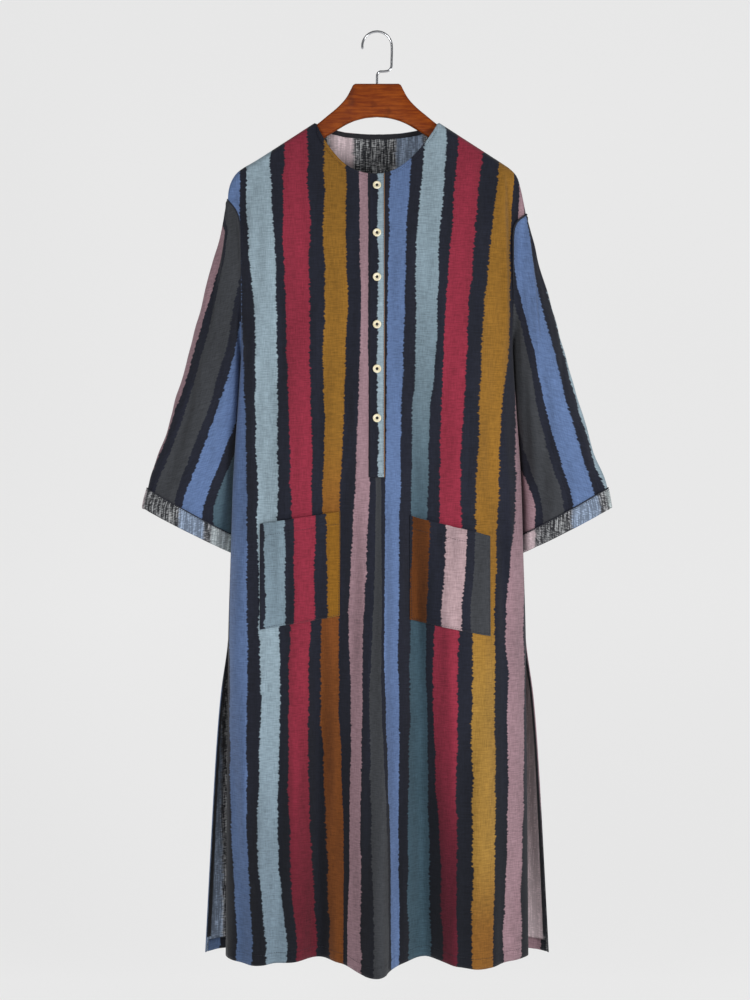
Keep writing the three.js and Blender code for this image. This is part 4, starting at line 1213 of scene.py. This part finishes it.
bands = {
    "width": 5.5, "tapeWidth": 7.0, "lift": 1.5, "thickness": 0.8, "inset": 0.004, "turnHalf": 90.5,
    "columns": 90, "rows": 9, "puff": 0.45, "sunk": 0.2, "slopeStep": 0.01,
    "cut": (0.010, 0.15), "area": 0.00083, "tapeCut": (0.010, 0.20), "tapeArea": 0.0015,
}


def neckBand(face, u, lift, wide):
    # a strip that follows the neckline at a constant width measured along its slope
    step = bands["slopeStep"]
    top = topEdge(face, u)
    run = ridgeTop(u + step)[0] * np.sign(u + step) - ridgeTop(u - step)[0] * np.sign(u - step)
    rise = topEdge(face, u + step) - topEdge(face, u - step)
    steep = np.sqrt(1 + (rise / run) ** 2) if face == "front" else 1
    t = np.linspace(0, 1, bands["rows"])[:, None]
    p = bodyPoint(face, u + 0 * t, top - robe["seamGap"] - wide * t * steep, reliefOf[face])
    out = lift + bands["puff"] * np.sin(pi * t) - bands["sunk"]
    return p + panelNormals(face, p) * out[..., None]


def makeBands():
    slot, turn = turnOf(robe["placketHalf"]) + bands["inset"], turnOf(bands["turnHalf"])
    for side, sign in (("left", -1), ("right", 1)):
        u = np.sort(sign * np.linspace(slot, turn, bands["columns"]))[None, :]
        p = neckBand("front", u, bands["lift"], bands["width"])
        clothPiece(f"neckBandCloth_{side}", p, frontMap(p), bands["thickness"], f"neck_band_{side}",
                   bands["cut"], "folded", ["front_panel"], bands["area"])
    u = np.linspace(-turn, turn, 2 * bands["columns"])[None, :]
    p = neckBand("back", u, -robe["cloth"] - robe["seamGap"], bands["tapeWidth"])
    clothPiece("neckTape", p, clothMap(p[..., 0] / unit, p[..., 2]), bands["thickness"], "neck_tape_back",
               bands["tapeCut"], "folded", ["back_panel"], bands["tapeArea"], materials=[tapeCloth],
               slotName="neck_tape", flip=True)
    print("neck bands and tape made")


inside = {
    "lift": -1.9, "thickness": 0.7, "slitFrom": 0.4, "slitWidth": 10.6, "slitColumns": 5, "slitOver": 3,
    "stitchIn": 6.5, "hemCut": {"front": (0.52, 0.019), "back": (0.56, 0.019)}, "slitCut": (0.0105, 0.46),
}


def insideStrip(name, face, p, uv, node, cut):
    p = p + panelNormals(face, p) * inside["lift"]
    clothPiece(name, p, uv, inside["thickness"], node, cut, "folded", [f"{face}_panel"], materials=[striped],
               flip=face == "back")


def fromEdge(face, z, distances):
    # where across the panel its cloth has run each distance from the edge, at each height
    u = np.linspace(1, 0.75, 100)
    p = bodyPoint(face, u[None, :], z[:, None])
    run = np.cumsum(np.linalg.norm(np.diff(p, axis=1, prepend=p[:, :1]), axis=2), axis=1)
    return np.array([np.interp(distances, row, u) for row in run])


def makeHems(made):
    # the foot of each panel turned up inside it, and its slit edges turned in, from the panel's own points
    for face, (p, uv) in made.items():
        height = p[..., 2] - p[-1:, :, 2]
        low = np.nonzero(height.max(axis=1) <= robe["hemDepth"])[0][0]
        band = p[low:, 2:-2].copy()
        band[-1, :, 2] += robe["seamGap"]
        insideStrip(f"{face}HemCloth", face, band, uv[low:, 2:-2], f"{face}_hem", inside["hemCut"][face])
        top = int(np.argmin(np.abs(p[:, 0, 2] - (robe["slitTopZ"] - inside["slitOver"]))))
        for side in ("left", "right"):
            z = p[top:low, 0, 2]
            u = fromEdge(face, z, np.linspace(inside["slitFrom"], inside["slitWidth"], inside["slitColumns"]))
            u, z = -u if side == "left" else u[:, ::-1], z[:, None] + 0 * u
            insideStrip(f"{face}SlitCloth_{side}", face, bodyPoint(face, u, z, reliefOf[face]),
                        clothMap(0.5 + 0 * z, z), f"{face}_slit_fold_{side}", inside["slitCut"])
    print("hems and slit folds made")


# Sewing

sewing = {
    "gap": 3.6, "length": 2.5, "thick": 0.62, "around": 6, "rings": 3, "edgeInset": 2.0, "stand": 0.2,
    "tackRise": (3, 24), "footShare": 0.985, "mouthShare": 0.118, "hemRise": 15.5, "hemStand": 0.15,
    "sideEnd": 0.985, "bandRow": 6, "cuffInset": 0.0045, "cuffStand": 0.35, "ringStep": 0.001,
    "edgeAt": -0.001, "edgeLift": 1.5, "edgeRadius": 0.8, "edgePoints": 240, "edgeWave": (0.15, 2.1),
    "seamStep": 0.002, "seamRadius": {"left": 0.9, "right": 1.5}, "seamPoints": 260, "seamLift": 0.4,
    "seamWave": (0.12, 1.7), "seamLeast": 0.55,
}


def stitchForm():
    # a lengthened ball of a few faces along x, as points and faces
    n, rings = sewing["around"], sewing["rings"]
    ringAt = np.linspace(0, pi, rings + 2)[1:-1]
    a = np.linspace(0, 2 * pi, n, endpoint=False)
    ball = [(1, 0, 0)] + [(math.cos(r), math.sin(r) * math.cos(v), math.sin(r) * math.sin(v))
                          for r in ringAt for v in a] + [(-1, 0, 0)]
    ball = np.array(ball) * (sewing["length"] / 2, sewing["thick"] / 2, sewing["thick"] / 2)
    faces = [(0, 1 + (k + 1) % n, 1 + k) for k in range(n)]
    for start in range(1, 1 + (rings - 1) * n, n):
        faces += [(start + k, start + (k + 1) % n, start + n + (k + 1) % n, start + n + k) for k in range(n)]
    last = 1 + (rings - 1) * n
    return ball, faces + [(last + k, last + (k + 1) % n, len(ball) - 1) for k in range(n)]


def stitchRows(name, lines):
    # stitches evenly spaced along each line, lying along it and across its normals
    ball, faces = stitchForm()
    placed = []
    for line, normals in lines:
        length = lineLength(line)
        places = np.arange(sewing["gap"] / 2, length[-1], sewing["gap"])
        here = readAt(places, length, line)
        along = readAt(places, length, np.gradient(line, length, axis=0))
        along /= np.linalg.norm(along, axis=1, keepdims=True)
        side = np.cross(readAt(places, length, normals), along)
        side /= np.linalg.norm(side, axis=1, keepdims=True)
        up = np.cross(along, side)
        placed.append(here[:, None] + ball[None, :, :1] * along[:, None] + ball[None, :, 1:2] * side[:, None]
                      + ball[None, :, 2:] * up[:, None])
    placed = np.concatenate(placed)
    allFaces = [tuple(v + base for v in face)
                for base in range(0, len(placed) * len(ball), len(ball)) for face in faces]
    finishPiece(meshObject(name, (placed.reshape(-1, 3) * mm).tolist(), allFaces), [thread])


def lineOn(face, u, z, lift):
    # a line on a panel with its normals, from three rows of the panel close together
    rows = np.stack([bodyPoint(face, u, z + step, reliefOf[face]) for step in (1.5, 0, -1.5)])
    n = panelNormals(face, rows)[1]
    return rows[1] + n * lift, n


def sewPlacket():
    # down both edges, and twice across the foot
    reach = robe["placketHalf"] - placket["clear"] - sewing["edgeInset"]
    foot = robe["placketBottomZ"] + sewing["tackRise"][0]
    down = np.linspace(placketTop() - 2, foot, 300)
    across = np.linspace(-reach, reach, 20)
    places = [(side * reach + 0 * down, down) for side in (-1, 1)]
    places += [(across, robe["placketBottomZ"] + rise + 0 * across) for rise in sewing["tackRise"]]
    stitchRows("placketStitching", [onFront(x, z, upperLift(x, z) + sewing["stand"]) for x, z in places])


def sewPockets():
    # down both sides, along the foot and under the hem of the mouth
    left = pockets["left"]
    inset = sewing["edgeInset"] / abs(left["innerX"] - left["outerX"])
    t = np.linspace(0, 1, 160)
    across, down = inset + (1 - 2 * inset) * t, sewing["footShare"] * t
    places = [(inset + 0 * t, down), (1 - inset + 0 * t, down), (across, sewing["footShare"] + 0 * t),
              (across, sewing["mouthShare"] + 0 * t)]
    stitchRows("pocketStitching", [onPocket(side, a, downAt, sewing["stand"])
                                   for side in ("left", "right") for a, downAt in places])


def sewHems():
    # over the turned-up hems and beside the slits
    u = np.linspace(-sewing["sideEnd"], sewing["sideEnd"], 900)
    z = np.linspace(robe["slitTopZ"] - 6, robe["hemZ"] + 24, 400)
    lines = []
    for face in ("front", "back"):
        lines.append(lineOn(face, u, hemHeight(face, u) + sewing["hemRise"], sewing["hemStand"]))
        beside = fromEdge(face, z, [inside["stitchIn"]])[:, 0]
        lines += [lineOn(face, sign * beside, z, sewing["hemStand"]) for sign in (-1, 1)]
    stitchRows("hemStitching", lines)


def sewNeck():
    # along the lower edge of both neck bands
    slot, turn = turnOf(robe["placketHalf"]) + 2 * bands["inset"], turnOf(bands["turnHalf"])
    lines = []
    for sign in (-1, 1):
        u = np.sort(sign * np.linspace(slot, turn, 200))[None, :]
        p = neckBand("front", u, bands["lift"] + sewing["stand"], bands["width"])
        lines.append((p[sewing["bandRow"]], gridNormals(p)[sewing["bandRow"]]))
    stitchRows("neckStitching", lines)


def sewnRing(name, line, normals, radius, around):
    # a closed roll of thread round a sleeve
    ring = tubeAlong(line, radius, around, normals, True)
    piece = gridMesh(name, np.concatenate([ring, ring[:1]]), closed=True)
    closeMesh(piece, poles=True)
    finishPiece(piece, [thread])


def uneven(points, wave):
    # a slight change of thickness from point to point
    return 1 + wave[0] * np.sin(np.arange(points) * wave[1])


def sewSleeve(side):
    # a row of stitches on the cuff, its overcast upper edge as a dark roll that is partly painted shadow, and
    # the rolled seam of the armhole
    rings = np.array([0, 1, 2]) * sewing["ringStep"] + sleeve["cuffStart"]
    p, _ = sleeveSurface(side, rings + sewing["cuffInset"], 400, cuff["lift"] + sewing["cuffStand"])
    stitchRows(f"cuffStitching_{side}", [(p[1], sleeveNormals(side, p)[1])])

    # the dark roll along each cuff's upper edge is overcast thread and partly painted shadow of the sleeve
    # above
    count = sewing["edgePoints"]
    p, _ = sleeveSurface(side, rings + sewing["edgeAt"], count, sewing["edgeLift"])
    radius = sewing["edgeRadius"] * uneven(count, sewing["edgeWave"])
    sewnRing(f"cuffEdgeAndShadow_{side}", p[0, :-1], sleeveNormals(side, p)[0, :-1], radius, 8)

    count = sewing["seamPoints"]
    p, _, share, _ = sleeveGrid(side, np.array([0, 1, 2]) * sewing["seamStep"], count)
    n = sleeveNormals(side, p)[0, :-1]
    thicker = smooth((share[0, :-1] - 0.5) / 0.4)  # over the shoulder
    radius = sewing["seamRadius"][side] * mix(sewing["seamLeast"], 1, thicker)
    radius = radius * uneven(count, sewing["seamWave"])
    sewnRing(f"armholeSeam_{side}", p[0, :-1] + n * sewing["seamLift"], n, radius, 10)


def sewAll():
    sewPlacket()
    sewPockets()
    sewHems()
    sewNeck()
    for side in ("left", "right"):
        sewSleeve(side)
    print("sewing made")


# Buttons, hanger and hook

buttons = {
    "heights": [-241, -314, -381, -452, -518, -591], "radius": 6.3, "height": 2.8, "stand": 0.9, "around": 40,
    # radius and height as shares, from the back's middle round the rim to the sunk middle
    "profile": [(0, 0.05), (0.6, 0.05), (0.86, 0.12), (0.97, 0.36), (1.0, 0.55), (0.97, 0.76), (0.88, 0.93),
                (0.78, 1.0), (0.66, 0.96), (0.56, 0.82), (0.48, 0.66), (0.36, 0.58), (0.2, 0.56), (0, 0.56)],
    "bar": {"half": 2.0, "radius": 0.42, "turn": 0.6, "share": 0.62, "arch": 0.44, "sunk": 0.5},
    # the thread's knot: radius, and height as a share of the button's
    "knot": [(0.02, 0.74), (1.1, 0.73), (1.9, 0.68), (2.3, 0.6), (1.9, 0.56)],
}


def standOn(points, z, height):
    # turns points that stand on a flat ground, +Z out of it, so that they stand on the placket at a height z
    step = buttons["radius"]
    here, above = bodyPoint("front", np.zeros(2), np.array([z, z + step]), reliefOf["front"])
    tilt = math.atan2(above[1] - here[1], step)
    c, s = math.cos(tilt), math.sin(tilt)
    x, y, out = points[..., 0], points[..., 1], points[..., 2] + height
    return np.stack([x, here[1] + y * s - out * c, z + y * c + out * s], axis=-1)


def turnedForm(profile, around):
    # a profile of radius and height turned about the upright
    a = np.linspace(0, 2 * pi, around, endpoint=False)[None, :]
    r, h = np.array(profile, float)[:, :1], np.array(profile, float)[:, 1:]
    return np.stack([r * np.cos(a), r * np.sin(a), h + 0 * a], axis=-1)


def threadBar(turn):
    # one arched bar of the sewn cross, lying in the button's sunk middle
    bar = buttons["bar"]
    t = np.linspace(-1, 1, 9)[:, None]
    b = np.linspace(0, 2 * pi, 8, endpoint=False)[None, :]
    along = bar["half"] * t + 0 * b
    side = bar["radius"] * np.cos(b) + 0 * t
    up = (buttons["height"] * bar["share"] + bar["arch"] * (1 - t ** 4) - bar["sunk"]
          + bar["radius"] * np.sin(b))
    return np.stack([along * math.cos(turn) - side * math.sin(turn),
                     along * math.sin(turn) + side * math.cos(turn), up], axis=-1)


def makeButtons():
    size = (buttons["radius"], buttons["height"])
    form = turnedForm(np.array(buttons["profile"]) * size, buttons["around"])
    turn = buttons["bar"]["turn"]
    threads = [threadBar(turn), threadBar(turn + pi / 2),
               turnedForm(np.array(buttons["knot"]) * (1, buttons["height"]), 16)]
    for k, z in enumerate(buttons["heights"], 1):
        piece = gridMesh(f"shirtButton_{k}", standOn(form, z, buttons["stand"]), closed=True)
        closeMesh(piece, poles=True)
        finishPiece(piece, [cream], f"button_{k}")
        loose = [gridMesh("bar", standOn(one, z, buttons["stand"]), closed=True) for one in threads]
        joined = joinPieces(f"buttonThread_{k}", loose)
        closeMesh(joined)
        finishPiece(joined, [buttonThread])
    print("buttons made")


hanger = {
    "thickness": 12, "edge": 4.5, "edgeMost": 0.8, "around": 40, "bevel": 1.2, "bevelAngle": 40,
    # distance from the hook, upper edge and lower edge
    "stations": [(0, -78, -128.5), (18, -78, -130.2), (33, -78, -134), (36.5, -80, -135.3), (46, -98, -139.5),
                 (58, -112, -146.5), (75, -126.5, -157), (94, -141.6, -169.5), (104, -146.2, -175),
                 (134, -165.4, -193), (175, -191.9, -216), (184, -198.6, -219.5), (189, -204.5, -217)],
    "runs": [(0, 33, 14), (33, 40, 10), (40, 175, 60), (175, 189, 12)],  # from, to, and the sections between
    "neckRows": 3, "neckEnd": 38,  # the upper edge is straight between stations up to here
}


def makeHanger():
    # rounded oblongs along both arms between the upper and the lower edge
    rows = np.array(hanger["stations"], float)
    at = np.concatenate([np.linspace(a, b, n, endpoint=b == rows[-1, 0]) for a, b, n in hanger["runs"]])
    beyond = columnCurve(rows[hanger["neckRows"]:], 1)(at)
    upper = np.where(at > hanger["neckEnd"], beyond, np.interp(at, rows[:, 0], rows[:, 1]))
    lower = columnCurve(rows, 2)(at)
    at = np.concatenate([-at[:0:-1], at])[:, None]
    upper, lower = (np.concatenate([edge[:0:-1], edge])[:, None] for edge in (upper, lower))
    half, middle = (upper - lower) / 2, (upper + lower) / 2
    radius = np.minimum(hanger["edge"], half * hanger["edgeMost"])
    a = np.linspace(0, 2 * pi, hanger["around"], endpoint=False)[None, :] + 0.01  # off the exact quarters
    y = np.sign(np.cos(a)) * (hanger["thickness"] / 2 - radius) + radius * np.cos(a)
    z = middle + np.sign(np.sin(a)) * (half - radius) + radius * np.sin(a)
    piece = gridMesh("woodenHanger", np.stack([at + 0 * a, y, z], axis=-1), closed=True)
    closeMesh(piece)
    bevel = piece.modifiers.new("softEdges", "BEVEL")
    bevel.width = hanger["bevel"] * mm
    bevel.segments = 3
    bevel.limit_method = "ANGLE"
    bevel.angle_limit = math.radians(hanger["bevelAngle"])
    finishPiece(piece, [stained], "hanger_body")
    print("hanger made")


hook = {
    "wire": 1.9, "radius": 22.5, "seatZ": -96, "jogZ": -59, "wrap": 1.04, "around": 20, "steps": 260,
    "arcPoints": 13, "capStart": 0.05, "capRings": 7, "capReach": 0.9,
}


def tubeAlong(line, radius, around, normals=(0, 1, 0), closed=False):
    # circles of the radius across the line, between its normals and the direction square to both
    if closed:
        tangent = np.roll(line, -1, axis=0) - np.roll(line, 1, axis=0)
    else:
        tangent = np.gradient(line, axis=0)
    tangent /= np.linalg.norm(tangent, axis=1, keepdims=True)
    sideways = np.cross(tangent, normals)
    sideways /= np.linalg.norm(sideways, axis=1, keepdims=True)
    up = np.cross(sideways, tangent)
    a = np.linspace(0, 2 * pi, around, endpoint=False)[None, :, None]
    r = np.broadcast_to(np.asarray(radius, float), (len(line),))[:, None, None]
    return line[:, None, :] + r * (np.cos(a) * sideways[:, None, :] + np.sin(a) * up[:, None, :])


def makeHook():
    # a wire up out of the wood, over the jog and round the arc, with a rounded tip
    jog, wire, radius = hook["jogZ"], hook["wire"], hook["radius"]
    points = [(0, hook["seatZ"]), (0, -84), (0, -70), (0.6, jog - 4), (4, jog - 0.5), (11, jog),
              (18, jog + 1.5), (21.5, jog + 6), (22.2, jog + 16)]
    turn = np.linspace(0, pi * hook["wrap"], hook["arcPoints"])
    points += [(radius * math.cos(a), wire - radius + radius * math.sin(a)) for a in turn]
    at, line = splineByLength([(x, 0, z) for x, z in points], 24)
    line = readAt(np.linspace(0, 1, hook["steps"]), at, line)
    cap = np.linspace(hook["capStart"], pi / 2, hook["capRings"])
    end = line[-1] - line[-2]
    end /= np.linalg.norm(end)
    tip = line[-1] + wire * np.sin(cap[:, None] - hook["capStart"]) * end * hook["capReach"]
    radii = np.concatenate([np.full(len(line), wire), wire * np.cos(cap)])
    piece = gridMesh("wireHook", tubeAlong(np.vstack([line, tip]), radii, hook["around"]), closed=True)
    closeMesh(piece)
    finishPiece(piece, [steel], "hanger_hook")
    print("hook made")


def makeStudio():
    # the floor runs up into the wall through a quarter circle
    bend, floor, wall = studio["bend"], studio["floorZ"], studio["wallY"]
    a = np.linspace(0, pi / 2, 24)
    line = [(studio["front"], floor)]
    line += [(wall - bend + bend * math.sin(v), floor + bend - bend * math.cos(v)) for v in a]
    line += [(wall, studio["top"])]
    line = np.array(line)
    x = np.linspace(-studio["halfWidth"], studio["halfWidth"], 3)[None, :]
    p = np.stack([x + 0 * line[:, :1], line[:, :1] + 0 * x, line[:, 1:] + 0 * x], axis=-1)
    sweep = gridMesh("floorSweep", p, flip=True)
    sweep.data.materials.append(wallPaint)
    world = bpy.data.worlds.new("softLight")
    world.use_nodes = True
    plug(world.node_tree, world.node_tree.nodes["Background"], {0: (1, 1, 1, 1), 1: studio["skyStrength"]})
    bpy.context.scene.world = world
    for name, light in studio["lights"].items():
        softLight(name, **light)
    bpy.context.scene.view_settings.view_transform = "Standard"
    print("studio made")


makeCamera()
makeStudio()
panelPieces = makePanels()
makeSleeves()
makeCuffs()
makePockets()
makePlacket()
makeBands()
makeHems(panelPieces)
sewAll()
makeButtons()
makeHanger()
makeHook()
